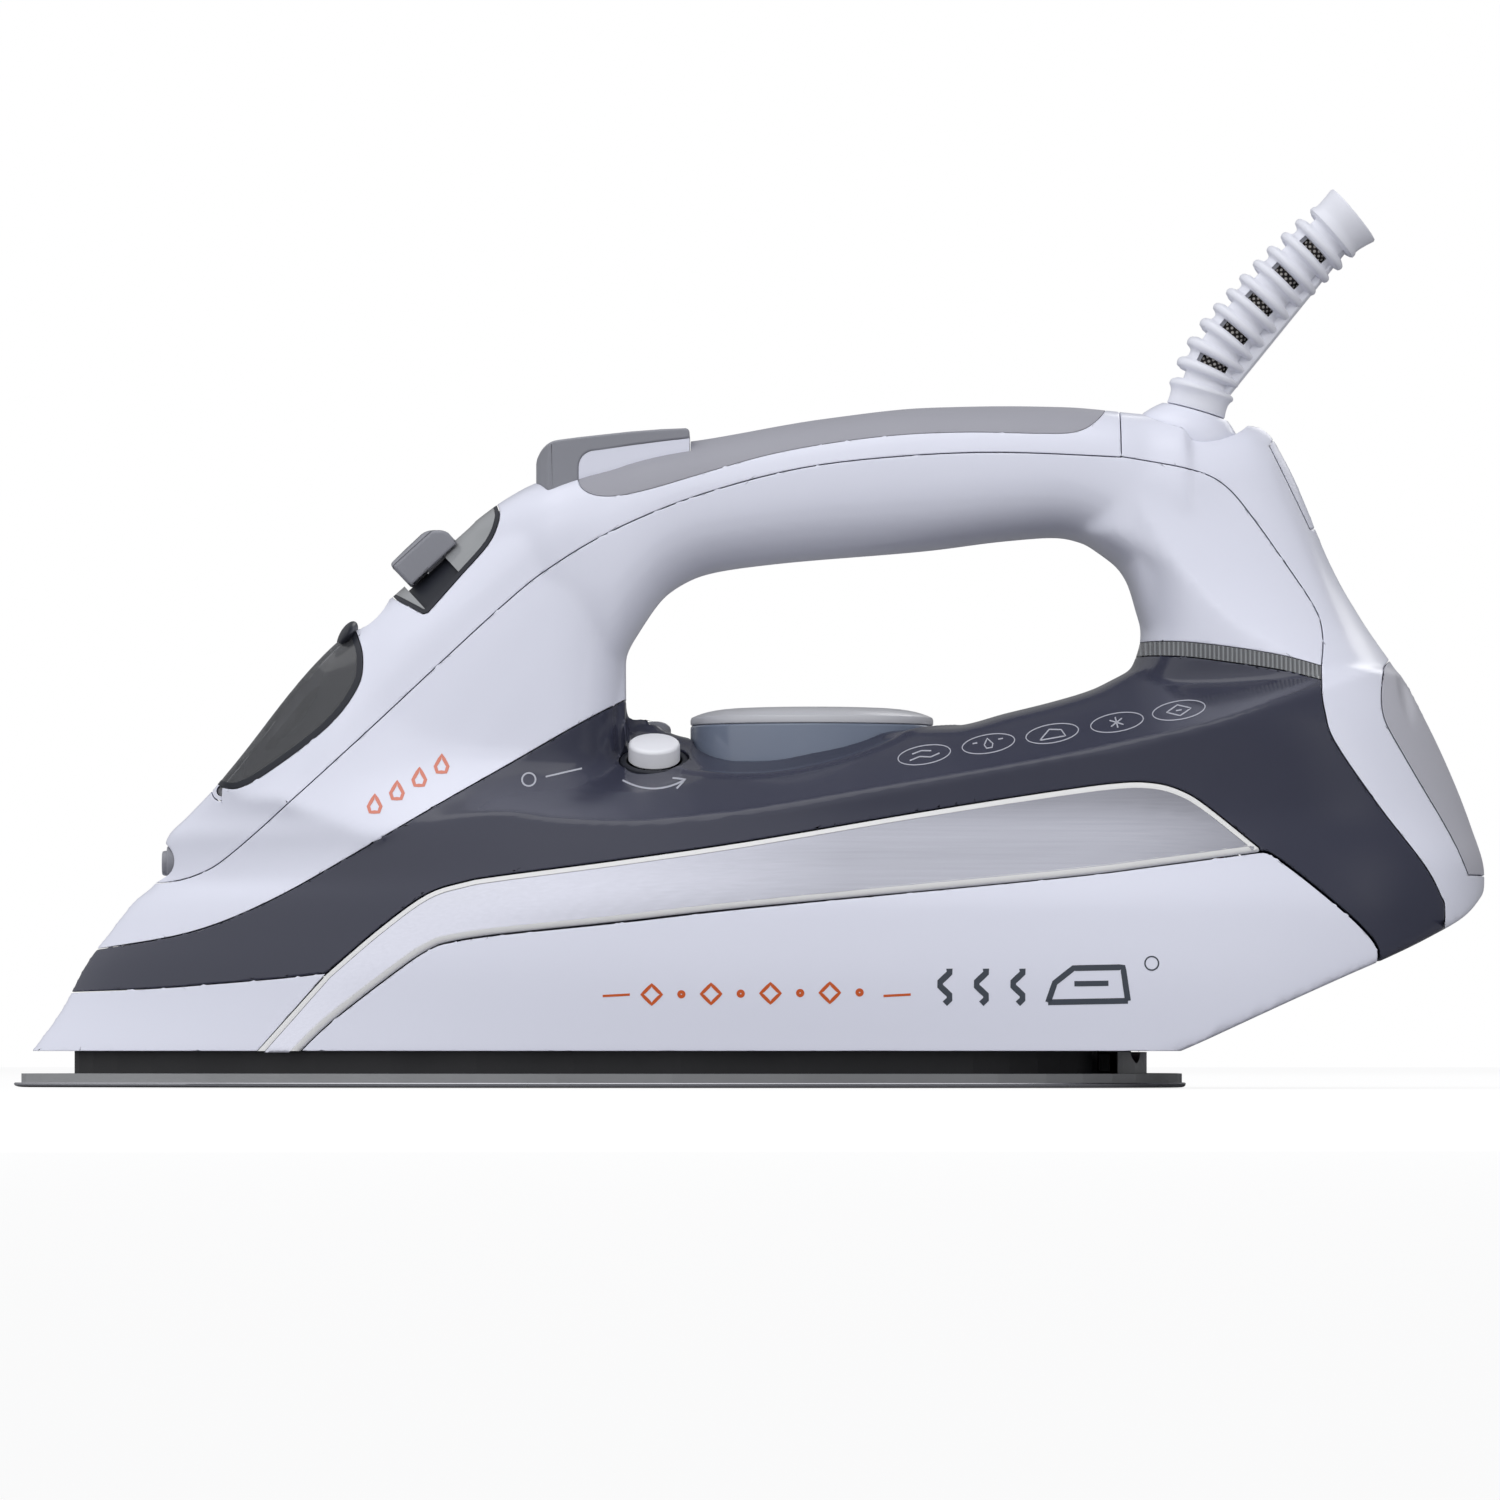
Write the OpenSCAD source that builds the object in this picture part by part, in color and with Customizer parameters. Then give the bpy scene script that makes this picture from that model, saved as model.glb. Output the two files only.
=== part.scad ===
// Steam iron: soleplate and heater, skirt, smoked water tank, white handle housing,
// controls, pumps and cord swivel. The nose points to -X, the heel to +X, and the
// soleplate's ironing face lies on Z = 0 with the origin at the middle of the length.

/* [Soleplate] */
// Half width of the soleplate at its widest
sole_half_w = 59; // [56:0.5:62]
// Thickness of the ironing plate
plate_t = 1; // [0.8:0.1:1.4]
// Thickness of the casting's flange on the ironing plate
flange_t = 1.9; // [1.5:0.1:2.3]
// Height of the casting's core above the flange
core_h = 11; // [10:0.5:13]
// Radius of a steam hole
steam_hole_r = 1.1; // [0.8:0.1:1.4]
// Radius of the tubular heating element
element_r = 3.3; // [2.8:0.1:3.6]
// Distance between the heating element's two legs
element_span = 62; // [56:1:66]

/* [Body] */
// How far the skirt stands in from the soleplate's edge
skirt_in = 1.5; // [0.5:0.25:3]
// Half width of the tank at its shoulder
shoulder_half_w = 49.5; // [47:0.5:52]
// Half width of the handle
handle_half_w = 18; // [17:0.25:20]
// Wall of the moulded shells
wall = 2.4; // [2:0.1:2.8]
// Gap at each moulded seam
seam = 0.4; // [0.2:0.05:0.6]
// How far the bright trim stands proud of the skirt
trim_proud = 0.5; // [0.3:0.1:0.8]
// Thickness of the trims, pads and inlays let into the shells
inlay_t = 1.4; // [1:0.1:1.6]

/* [Controls] */
// Radius of the temperature dial
dial_r = 25.5; // [23:0.5:26]
// Height of the dial's coloured body
dial_h = 5.4; // [4.5:0.1:6]
// Radius of the dial's shaft
shaft_r = 3; // [2.5:0.1:3.5]
// Half width of the pair of thumb buttons
button_half_w = 12; // [11:0.25:12.5]
// Travel of a thumb button
button_travel = 3; // [2:0.25:3.5]
// Radius of the pumps' pistons
piston_r = 3; // [2.5:0.1:3.5]
// Radius of the two round knobs on the tank
knob_r = 5.3; // [4.8:0.1:5.6]
// Travel of the round knobs
knob_travel = 2.5; // [1.5:0.25:3]
// Radius of the filler flap's hinge pin
pin_r = 1; // [0.8:0.05:1.2]

/* [Cord guard] */
// Outer radius of the guard's ribs
rib_r = 6.8; // [6.4:0.1:7.2]
// Outer radius of the guard's tube
guard_r = 5.2; // [5:0.1:5.6]
// Radius of the hole through the guard
guard_bore_r = 3.9; // [3.6:0.1:4.2]
// Radius of the lead inside the guard
lead_r = 3.4; // [3:0.1:3.5]
// Radius of the swivel ball
ball_r = 8.5; // [8:0.1:9]

/* [Hidden] */
$fn = 48;
fit = 0.05;    // running clearance of a pin in its hole
skirt_half_w = sole_half_w - skirt_in;
gap = 0.3;     // gap between pieces that move past each other

// Side-view lines, each a list of [height, x] or [x, height] pairs.
front_line = [[0, -157], [7.6, -151.8], [43, -125.5], [50, -125], [63, -112], [92, -88],
    [103, -74], [122, -53], [126, -47], [134, -30]];
heel_line = [[40, 154], [45, 154], [54, 151.4], [70, 145], [88, 135.5], [97, 129.4],
    [108, 123], [130, 113.5], [136, 110]];
under_line = [[88, 7.6], [91, 7.6], [107, 14.9], [132, 26], [148, 34.4], [154, 41]];
ridge_line = [[-152, 7.8], [-125.5, 43], [-125, 50.3], [-112, 63], [-88, 92], [-74, 103],
    [-53, 122], [-47, 126], [-30, 134]];
deck_line = [[-60, 74], [-25, 78.5], [-15, 75.5], [42, 75.7], [54, 78.5], [64, 81],
    [72, 83.5], [77, 86], [84, 89], [120, 89], [136, 87], [145, 70], [151.4, 54], [154, 45]];
shoulder_line = [[-120, 130], [-75, 74], [-59, 59.2], [-40, 54], [-10, 56], [31, 62.4],
    [94, 75], [113, 81.3], [130, 87]];
grip_top = [[-47, 126], [-30, 133], [-9, 136.1], [16, 140.4], [38, 142.7], [54, 143],
    [66, 142.8], [82, 141.4], [98, 140], [107, 138]];
grip_under = [[-58, 98], [-47, 95], [-30, 84], [-24.4, 93.7], [-17, 103.7], [-9, 107.7], [3, 109.6],
    [38, 112.7], [54, 114.7], [64, 115.4], [72, 113.4], [79, 106.5], [82, 97], [84, 92],
    [110, 92]];
neck_back = -26;        // face of the front neck in the finger opening
neck_line = [[84, 77], [88.6, 80.4], [95, 82.1], [101, 81.3], [107, 79], [116, 68]];
deck_slope = 24;        // slope of the tank's deck, in degrees
nose_mid = 20;          // where the plan reaches its full width
heel_mid = 70;          // where the plan starts to close behind

// Half widths by height.
body_width = [[7, skirt_half_w], [22, skirt_half_w + 0.5], [36, skirt_half_w - 0.5],
    [48, shoulder_half_w + 3.5], [58, shoulder_half_w], [75, shoulder_half_w - 1.5],
    [95, shoulder_half_w - 10]];
neck_width = [[20, 22], [35, 24.5], [48, 30], [66, 22.5], [80, 20.5],
    [100, handle_half_w + 0.8], [135, handle_half_w]];
tail_width = [[40, shoulder_half_w], [75, shoulder_half_w - 3], [88, 36], [97, 29],
    [110, 23.5], [126, handle_half_w + 1.5], [140, handle_half_w + 0.5]];

function bulge(v, power) = v >= 1 ? 0 : pow(1 - pow(max(v, 0), power), 1 / power);
function nose_plan(x, tip, reach, power) = let (u = (tip + reach - x) / reach)
    u <= 0 ? 1 : u >= 1 ? 0 : pow(1 - u * u, power);

// Half width of the lower body at a place x and a height z.
function flank(x, z) = let (tip = lookup(z, front_line), end = lookup(z, heel_line))
    lookup(z, body_width) * nose_plan(x, tip, nose_mid - tip, 0.8)
    * bulge((x - heel_mid) / (end - heel_mid), 2.6);
function body_half(x, z) = let (top = lookup(x, deck_line), edge = lookup(x, shoulder_line),
        roof = flank(x, edge) - (z - edge) / tan(deck_slope), crown = 2)
    x < -60 ? flank(x, z)
    : min(flank(x, z), z > top - crown
        ? (flank(x, edge) - (top - crown - edge) / tan(deck_slope))
            * bulge((z - top + crown) / crown, 2) : roof);
function neck_half(x, z) = lookup(z, neck_width) * nose_plan(x, lookup(z, front_line), 48, 0.65)
    * bulge((x - neck_back + 16) / 16, 2.4);
function tail_half(x, z) = let (end = lookup(z, heel_line), start = lookup(z, neck_line),
        top = lookup(x, grip_top), crown = 14)
    min(lookup(z, tail_width), handle_half_w + 1.5 + 0.45 * max(0, x - 80))
    * bulge((x - end + 45) / 45, 2.2) * bulge((start + 12 - x) / 12, 2.4)
    * bulge((z - top + crown) / crown, 2);

// A closed outline across the body from its points (half width, height) on one side.
function ring(side) = concat(side, [for (k = [len(side) - 1:-1:0]) [-side[k][0], side[k][1]]]);
function spread(low, high, parts) = [for (t = parts) low + (high - low) * t];

// Joins the outlines at the stations xs into one solid, each pair by a hull.
module loft(xs, outline) {
    rings = [for (x = xs) [for (p = outline(x)) [x, p[0], p[1]]]];
    m = len(rings[0]);
    sides = [for (k = [0:m - 1]) [k, (k + 1) % m, m + (k + 1) % m, m + k]];
    for (i = [0:len(xs) - 2])
        hull() polyhedron(concat(rings[i], rings[i + 1]), concat(sides,
            [[for (k = [m - 1:-1:0]) k], [for (k = [0:m - 1]) m + k]]));
}

// The body's outer form, moved inwards by inset. A hollow form is open underneath.
// Each module takes its points on the outer form and moves them inwards: sideways on the
// flanks, downwards on the deck and the crown.
module lower_form(inset) {
    crown = 2;
    xs = [-151.6, -149.5, -145, -137, -127, -112, -95, -78, -60.1, -59.9, -45, -25, -14, 15,
        42, 60, 77, 90, 92.2, 104, 118, 130, 139, 146, 150, 153.5];
    kept = [for (x = xs) if (max(flank(x, 45), x < 0 ? flank(x, 7.6) : 0) > inset) x];
    loft(kept, function (x) let (low = lookup(x, under_line),
            floor = inset == 0 ? low : x < 92 ? low - 1 : low + inset,
            edge = lookup(x, shoulder_line), top = lookup(x, x < -60 ? ridge_line : deck_line),
            bend = top - crown)
        x < -60 ? let (z = spread(low, top, [0, 0.25, 0.5, 0.7, 0.83, 0.92, 0.97, 1]))
            ring([for (k = [0:7]) [max(body_half(x, z[k]) - inset, 0.05),
                k == 0 ? floor : k == 7 ? max(z[7] - 1.4 * inset, floor + 1) : z[k]]])
        : let (flat = min(edge, top - 5), z = concat(spread(low, flat - 3, [0, 0.5, 1]),
                [flat + 1.5, (flat + bend) / 2 + 1, bend, bend + 0.7 * crown, top]))
            ring([for (k = [0:7]) [max(body_half(x, z[k]) - inset * (k < 3 ? 1 : 0.5), 0.05),
                k == 0 ? floor : max(z[k] - (k < 3 ? 0 : inset), floor + 0.2 * k)]]));
}
module neck_form(inset) {
    xs = [-127, -125, -118, -108, -98, -88, -80, -74, -66, -58, -50, -42, -36, -31, -28,
        neck_back - 0.3];
    loft([for (x = xs) if (x + inset < neck_back) x],
        function (x) let (top = min(lookup(x, ridge_line), 120),
            z = spread(25, top, [0, 0.3, 0.6, 0.8, 0.92, 0.98, 1]),
            place = min(x + (x > -50 ? inset : 0), neck_back - 0.2))
        ring([for (k = [0:6]) [max(neck_half(place, z[k]) - inset, 0.05),
            k == 0 ? 25 + inset : k == 6 ? max(top - 1.3 * inset, 26 + inset) : z[k]]]));
}
module tail_form(inset) {
    crown = 14;
    xs = [82.2, 83, 84.5, 87, 90, 97, 102, 107, 110, 113, 117, 122, 128, 134];
    over = [for (p = heel_line) [-p[1], p[0]]];
    loft(xs, function (x) let (low = (x < 82 ? 88 : 84) + inset,
            top = min(lookup(x, grip_top), lookup(-x, back(over))),
            bend = max(top - crown, low + 1),
            z = concat(spread(low, bend, [0, 0.3, 0.65, 1]),
                spread(bend, top, [0.5, 0.85, 1])))
        ring([for (k = [0:6]) [max(tail_half(x, z[k]) - inset, 0.05),
            max(z[k] - (k > 3 ? inset * (k - 3) / 3 : 0), low + 0.1 * k)]]));
}
module grip_form(inset) {
    xs = [-58, -52, -46, -38, -32, -27, -24, -20, -15, -9, 0, 15, 35, 54, 66, 74, 80, 84, 92];
    loft(xs, function (x) let (top = lookup(x, x < -47 ? ridge_line : grip_top) - inset,
            bottom = lookup(x, grip_under) + inset, mid = (top + bottom) / 2,
            half = lookup(x, [[-58, 9], [-50, 13.5], [-40, handle_half_w],
                [35, handle_half_w + 0.5], [92, handle_half_w + 1.5]]) - inset)
        [for (a = [0:24:359]) let (c = cos(a), s = sin(a))
            [half * sign(c) * pow(abs(c), 0.8), mid + (top - mid) * sign(s) * pow(abs(s), 0.8)]]);
}
module whole(inset) {
    lower_form(inset);
    neck_form(inset);
    tail_form(inset);
    grip_form(inset);
}

// Seams in the side view, front to back.
house_seam = [[-141, 28.6], [-136, 29.1], [-117, 32.3], [-101, 38.3], [-82, 48.6], [-62, 60.4],
    [-37, 75], [neck_back + 0.1, 81.2]];
cover_seam = [[-130, 44.4], [-124.5, 42.8], [-115.5, 44.5], [-107, 49.8], [-88, 66.6],
    [-52.5, 99.8], [-40, 109.6], [-27, 117], [-10, 123.8], [10.5, 129.2], [31.5, 131.7],
    [52.5, 132.5], [77.3, 131.5]];
rear_seam = [[77.5, 131.6], [84.5, 130.5], [92, 129], [97, 127.2], [101, 124], [105, 119],
    [110, 112], [117.7, 100.3], [119.3, 94], [118.7, 87.6]];
heel_seam = [[118.4, 81.8], [119, 77.7], [121, 71.5], [130, 58.5], [139.5, 46.3], [143, 40],
    [144, 36], [142.9, 20]];
skirt_seam = [[-160, 19.2], [-127, 20.5], [-112, 21.5], [-97, 22.7], [-87.7, 23.7]];
trim_top = [[-103.5, 6], [-87.7, 23.7], [-77, 32.8], [-67, 40], [-52, 43.8], [-27, 47],
    [0, 50.9], [34, 56.7], [62, 61.1], [76, 62.9], [83, 62.9], [88.5, 61.5], [94, 58.3],
    [105, 49.4]];
trim_low = [[-95, 6], [-87, 13.7], [-72, 25.2], [-62, 30.3], [-52, 31.8], [-27, 34.3],
    [0, 37.3], [63, 43.4], [83.5, 45.9], [105, 48.8]];
panel_end = [[107.4, 48.3], [113.5, 43.9], [120.3, 38.4], [125.8, 33.6], [129.5, 29],
    [128.6, 10]];
lens_top = [[81.5, 93.2], [90.3, 92.8], [100.6, 91.5], [110.8, 89.7], [118.7, 87.6]];
lens_low = [[78, 90.4], [90.3, 89.7], [100.6, 88.3], [110.8, 86.6], [118.5, 84.6]];
grip_edge = [[-36, 127], [-35, 125], [-32, 123.6], [-27, 123.6], [-19.7, 125.2], [-10, 128.1],
    [4, 132.1], [18, 134.7], [32, 136.3], [46, 136.8], [60, 136.5], [66.6, 136.6],
    [70.3, 137.7], [73, 139.9], [74.6, 142]];
flap_edge = [[-110.9, 62.8], [-107, 62.4], [-100.8, 65.5], [-88.2, 75], [-81.9, 83.4],
    [-80.9, 89.7], [-82.3, 94.9], [-84, 97.7]];
slider_edge = [[-74.4, 102.3], [-68.3, 98.9], [-60.9, 106.5], [-54.6, 113.8], [-52.5, 119.1],
    [-53, 122]];
pad_edge = [[134.7, 90], [132.3, 87.2], [131.3, 82.5], [131.3, 78.4], [132.3, 75],
    [135.4, 69.5], [139.5, 62.6], [143.6, 55.9], [147, 49.7], [149.4, 44.2]];
function back(line) = [for (k = [len(line) - 1:-1:0]) line[k]];
out = 170;              // beyond the body on every side
skirt_zone = concat([[-out, 0]], skirt_seam, [[-103.5, 6], [-103.5, 0]]);
trim_zone = concat(trim_top, back(trim_low));
panel_and_trim_zone = concat([[-103.5, 0]], trim_top, panel_end, [[128.6, 0]]);
tank_zone = concat([[-out, 28.4], [-out, 19.2]], skirt_seam, [for (k = [2:13]) trim_top[k]],
    panel_end, [[142.9, 20]], back(heel_seam), back(lens_low), [[72, 92], [10, 84], [neck_back + 0.1, 84]],
    back(house_seam));
main_zone = concat(cover_seam, rear_seam, back(lens_low), [[72, 92], [10, 84], [neck_back + 0.1, 84]],
    back(house_seam), [[-out, 28.4], [-out, 44.4]]);
top_zone = concat(cover_seam, [[77.5, 131.5], [77.5, out], [-out, out], [-out, 44.4]]);
rear_zone = concat([[77.5, out]], rear_seam, heel_seam, [[142.9, 0], [out, 0], [out, out]]);
lens_zone = concat(lens_top, back(lens_low));
grip_zone = concat(grip_edge, [[74.6, out], [-36, out]]);
flap_zone = concat(flap_edge, [[-88, 110], [-120, 70]]);
slider_zone = concat(slider_edge, [[-60, 130], [-82, 110]]);
pad_zone = concat(pad_edge, [[out, 44.2], [out, 90]]);
plate_zone = [[109, 134.5], [112, 139], [125, 119], [117.5, 117]];

module prism(zone, grow) {
    rotate([90, 0, 0]) linear_extrude(2 * out, center = true) offset(delta = grow) polygon(zone);
}
module shell(zone) {
    intersection() {
        difference() { whole(0); whole(wall); }
        prism(zone, -seam / 2);
    }
}
// The layer of the body down to a depth, in one zone: inlays, and the rebates for them.
module inlay(zone) {
    intersection() {
        difference() { whole(0); whole(inlay_t); }
        prism(zone, -seam / 2);
    }
}
module rebate(zone) {
    intersection() {
        difference() { whole(-2); whole(inlay_t + fit); }
        prism(zone, seam / 2);
    }
}
module half_space(side) {
    translate([0, side * (out + 0.2), 0]) cube([2 * out, 2 * out, 4 * out], center = true);
}

// Places of what moves.
dial_x = 13;
recess_z = 69.4;                          // floor of the dial's recess
dial_z = recess_z + gap;
cap_edge = 2.1;                           // the dial cap's rim
cap_dome = 2.5;
pump_x = -37;
pump_y = 6.2;
pump_r = 5;
pump_base = 92;
pump_top = 112;
collar_z = pump_top + button_travel + 4;  // underside of a piston's collar
knob_at = [-20, 13.5, 69.6];              // where the knobs' axes meet the deck
rod_r = 2;
stem_r = 1.8;
valve_x = -60;
valve_top = 84.3;
chamber_top = plate_t + flange_t + core_h;
seal_t = 0.6;                             // the chamber gasket
cover_t = 1.6;
ridge_tilt = 42.1;                        // slope of the ridge under the steam slider
slider_at = [-66, 0, 110.1];              // on the ridge, at the slider's stem
slider_travel = 9;
stem_l = 5;
stem_w = 4;
carriage_z = 4.5;                         // depth of the carriage below the ridge
shelf_z = 104;                            // shelf for the terminal block
flap_pin_at = [-110.5, 0, 62];
filler_x = -95;
duct_x = 98;                              // duct through the tank for the wires
duct_r = 5.5;
nozzle_at = [-125.6, 0, 47];
guard_at = [93.5, 0, 141.5];
guard_tilt = 16;

// Curves and sweeps for springs, wires and hoses.
function unit(v) = v / norm(v);
function smooth(p, steps) = [for (i = [0:len(p) - 2], k = [0:steps - 1])
    let (a = p[max(i - 1, 0)], b = p[i], c = p[i + 1], d = p[min(i + 2, len(p) - 1)],
        t = k / steps)
    0.5 * (2 * b + (c - a) * t + (2 * a - 5 * b + 4 * c - d) * t * t
        + (3 * b - a - 3 * c + d) * t * t * t), p[len(p) - 1]];
module tube(path, r, sides) {
    n = len(path);
    rings = [for (i = [0:n - 1]) let (t = unit(path[min(i + 1, n - 1)] - path[max(i - 1, 0)]),
            u = unit(cross(t, abs(t[1]) > 0.9 ? [1, 0, 0] : [0, 1, 0])), w = cross(t, u))
        for (k = [0:sides - 1]) path[i] + r * (cos(360 * k / sides) * u
            + sin(360 * k / sides) * w)];
    polyhedron(rings, concat([[for (k = [0:sides - 1]) k]],
        [for (i = [0:n - 2], k = [0:sides - 1]) let (j = (k + 1) % sides)
            [i * sides + k, (i + 1) * sides + k, (i + 1) * sides + j, i * sides + j]],
        [[for (k = [sides - 1:-1:0]) (n - 1) * sides + k]]));
}
module spring(radius, wire, length, turns) {
    tube([for (i = [0:turns * 10]) let (a = 36 * i)
        [radius * cos(a), radius * sin(a), wire + (length - 2 * wire) * i / (turns * 10)]],
        wire, 6);
}

// Plan outlines of the sole and what stands on it.
function plan(tip, end, half) = let (
        front = [for (k = [0:12]) let (u = 1 - pow(k / 12, 2))
            [10 - (10 - tip) * u, half * pow(1 - u * u, 0.8)]],
        rear = [for (a = [9:9:90]) [30 + (end - 30) * pow(sin(a), 2 / 3.5),
            half * pow(cos(a), 2 / 3.5)]], side = concat(front, rear))
    concat(side, [for (k = [len(side) - 2:-1:1]) [side[k][0], -side[k][1]]]);
sole_tip = -154.5;
sole_end = 91.1;
function sole_plan(inset) = plan(sole_tip + 2.2 * inset, sole_end - inset, sole_half_w - inset);
module slab(inset, z, h) { translate([0, 0, z]) linear_extrude(h) polygon(sole_plan(inset)); }

hole_ring = sole_plan(21);
hole_at = [for (k = [0:len(hole_ring) - 1]) if (hole_ring[k][0] < 12
    && (k == 0 || abs(hole_ring[k][1]) > 7)) hole_ring[k]];
module soleplate() {
    color("silver") difference() {
        slab(0, 0, plate_t);
        for (p = hole_at)
            translate([p[0], p[1], -1]) cylinder(r = steam_hole_r, h = 4);
    }
}
element_z = plate_t + flange_t + 5.5;
element_bend = -50;                       // where the two legs of the element start to bend
element_end = 70;
screw_at = [for (x = [-68, -38, -10], s = [-1, 1]) [x, s * (x < -50 ? 14 : 22)]];
chamber = [[-76, -6], [-70, -17], [-44, -25], [-5, -25], [-5, 25], [-44, 25], [-70, 17],
    [-76, 6]];
chamber_hole = [[-70, -5], [-65, -11], [-42, -18], [-14, -18], [-14, 18], [-42, 18],
    [-65, 11], [-70, 5]];
shield_end = 76;                          // rear end of the black heat shield
module element_path(r, end = element_end) {
    for (s = [-1, 1]) translate([element_bend, s * element_span / 2, element_z])
        rotate([0, 90, 0]) cylinder(r = r, h = end - element_bend);
    translate([element_bend, 0, element_z]) rotate([0, 0, 90])
        rotate_extrude(angle = 180) translate([element_span / 2, 0]) circle(r = r);
}
module heater_casting() {
    color("lightgray") difference() {
        union() {
            slab(0.7, plate_t, flange_t);
            translate([0, 0, plate_t]) linear_extrude(flange_t + core_h)
                polygon(plan(sole_tip + 2.2 * 13, shield_end - 3, sole_half_w - 13));
            intersection() {
                slab(8, plate_t, flange_t + 4.5);
                translate([shield_end + fit, -out, 0]) cube([20, 2 * out, 20]);
            }
        }
        element_path(element_r + fit, 95);
        translate([0, 0, plate_t + flange_t + 3]) linear_extrude(core_h) polygon(chamber_hole);
        for (p = screw_at)
            translate([p[0], p[1], chamber_top - 7]) cylinder(r = 1.5, h = 10);
        difference() {
            slab(19, plate_t - 1, 3);
            slab(23, plate_t - 2, 6);
        }
    }
}
module heating_element() {
    color("dimgray") element_path(element_r);
    color("silver") for (s = [-1, 1])
        translate([element_end, s * element_span / 2, element_z])
            rotate([0, 90, 0]) cylinder(r = 1.4, h = 9);
}
module chamber_gasket() {
    color("firebrick") translate([0, 0, chamber_top]) difference() {
        linear_extrude(seal_t) polygon(chamber);
        translate([0, 0, -1]) linear_extrude(4) polygon(chamber_hole);
        for (p = screw_at) translate([p[0], p[1], -1]) cylinder(r = 1.8, h = 4);
    }
}
module steam_chamber_cover() {
    color("gainsboro") translate([0, 0, chamber_top + seal_t]) difference() {
        union() {
            linear_extrude(cover_t) polygon(chamber);
            translate([valve_x, 0, 0]) cylinder(r = 5, h = cover_t + 3);
        }
        for (p = screw_at) translate([p[0], p[1], -1]) cylinder(r = 1.7, h = 6);
        translate([valve_x, 0, -1]) cylinder(r = stem_r + fit, h = 8);
        for (s = [-1, 1]) translate([knob_at[0] - 4, s * 6, -1]) cylinder(r = 1, h = 6);
    }
}
module casting_screws() {
    color("silver") for (p = screw_at) translate([p[0], p[1], chamber_top - 6.5]) {
        cylinder(r = 1.5 - fit, h = 6.5 + seal_t + cover_t);
        translate([0, 0, 6.5 + seal_t + cover_t]) cylinder(r = 2.8, h = 1.8);
    }
}
bush_h = 9;
module thermostat() {
    color("linen") translate([dial_x, 0, chamber_top]) difference() {
        union() {
            cylinder(r = 10, h = 2);
            translate([-4, -14, 0]) cube([8, 28, 1.5]);
            cylinder(r = 7.5, h = 14);
            translate([0, 0, 14]) cylinder(r = 5.5, h = bush_h);
        }
        translate([0, 0, 15]) cylinder(r = shaft_r + fit, h = bush_h);
    }
}
module thermal_fuse() {
    color("goldenrod") translate([36, -14, chamber_top + 2.2]) rotate([0, 90, 0]) {
        cylinder(r = 2.2, h = 16);
        translate([0, 0, -7]) cylinder(r = 0.7, h = 30);
    }
}
shield_tip = -141.8;
function shield_plan(inset) = plan(shield_tip + 2.2 * inset, shield_end - inset,
    skirt_half_w - 5 - inset);
shield_top = 16.5;
module heat_shield() {
    color("#222226") {
        difference() {
            union() {
                translate([0, 0, plate_t + flange_t]) linear_extrude(shield_top - plate_t
                    - flange_t) polygon(shield_plan(0));
                translate([0, 0, 9]) linear_extrude(2)
                    polygon(plan(shield_tip, shield_end + 12, skirt_half_w - wall - 5 * gap));
            }
            translate([0, 0, plate_t]) linear_extrude(shield_top - plate_t - 2)
                polygon(shield_plan(2.2));
            linear_extrude(40) polygon(sole_plan(17));
            for (s = [-1, 1]) translate([60, s * element_span / 2 - 5, element_z - 5])
                cube([30, 10, 8]);
        }
    }
}
module nose_skirt() { color("white") shell(skirt_zone); }
module side_panel(side) {
    color("white") difference() {
        intersection() {
            shell(panel_and_trim_zone);
            half_space(side);
        }
        rebate(trim_zone);
    }
}
module side_panel_left() { side_panel(-1); }
module side_panel_right() { side_panel(1); }
module trim(side) {
    color("silver") intersection() {
        difference() { whole(-trim_proud); whole(inlay_t); }
        prism(trim_zone, -seam / 2);
        half_space(side);
    }
}
module trim_left() { trim(-1); }
module trim_right() { trim(1); }
module dial_well(r, low) { translate([dial_x, 0, low]) cylinder(r = r, h = 60); }
module knob_axis(side) {
    translate([knob_at[0], side * knob_at[1], knob_at[2]]) rotate([-side * deck_slope, 0, 0])
        children();
}
well_r = knob_r + 2;
guide_len = 24;
module water_tank() {
    $fn = 24;
    color("#505664", 0.6) difference() {
        union() {
            intersection() {
                difference() {
                    whole(0);
                    intersection() { whole(wall); prism(tank_zone, -seam / 2 - wall); }
                }
                prism(tank_zone, -seam / 2);
            }
            intersection() {
                union() {
                    dial_well(dial_r + gap + wall, recess_z - wall);
                    translate([dial_x, 0, 40]) cylinder(r = shaft_r + 1.2 + wall, h = 40);
                    for (s = [-1, 1]) knob_axis(s) translate([0, 0, -guide_len])
                        cylinder(r = well_r + 1.5, h = guide_len + 8);
                    translate([valve_x, 0, 30]) cylinder(r = 6, h = 20);
                    translate([duct_x, 0, 20]) cylinder(r = duct_r + wall / 2, h = 80);
                }
                whole(fit);
                prism(tank_zone, -seam / 2 - fit);
            }
        }
        dial_well(dial_r + gap, recess_z);
        translate([dial_x, 0, 0]) cylinder(r = shaft_r + 1.2, h = 90);
        for (s = [-1, 1]) knob_axis(s) {
            translate([0, 0, -knob_travel - 2]) cylinder(r = well_r, h = 20);
            translate([0, 0, -60]) cylinder(r = rod_r + 2 * fit, h = 70);
            translate([0, 0, -guide_len - 0.1]) cylinder(r = well_r - 1.5,
                h = guide_len - knob_travel - 2 - 12);
        }
        translate([valve_x, 0, 0]) cylinder(r = stem_r + 0.4, h = 90);
        translate([duct_x, 0, 0]) cylinder(r = duct_r, h = 110);
        translate([filler_x, 0, 36]) cylinder(r = 6.4, h = 20);
        for (s = [-1, 1]) translate([pump_x, s * pump_y, 66]) cylinder(r = 2.4, h = 20);
    }
}
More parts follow.
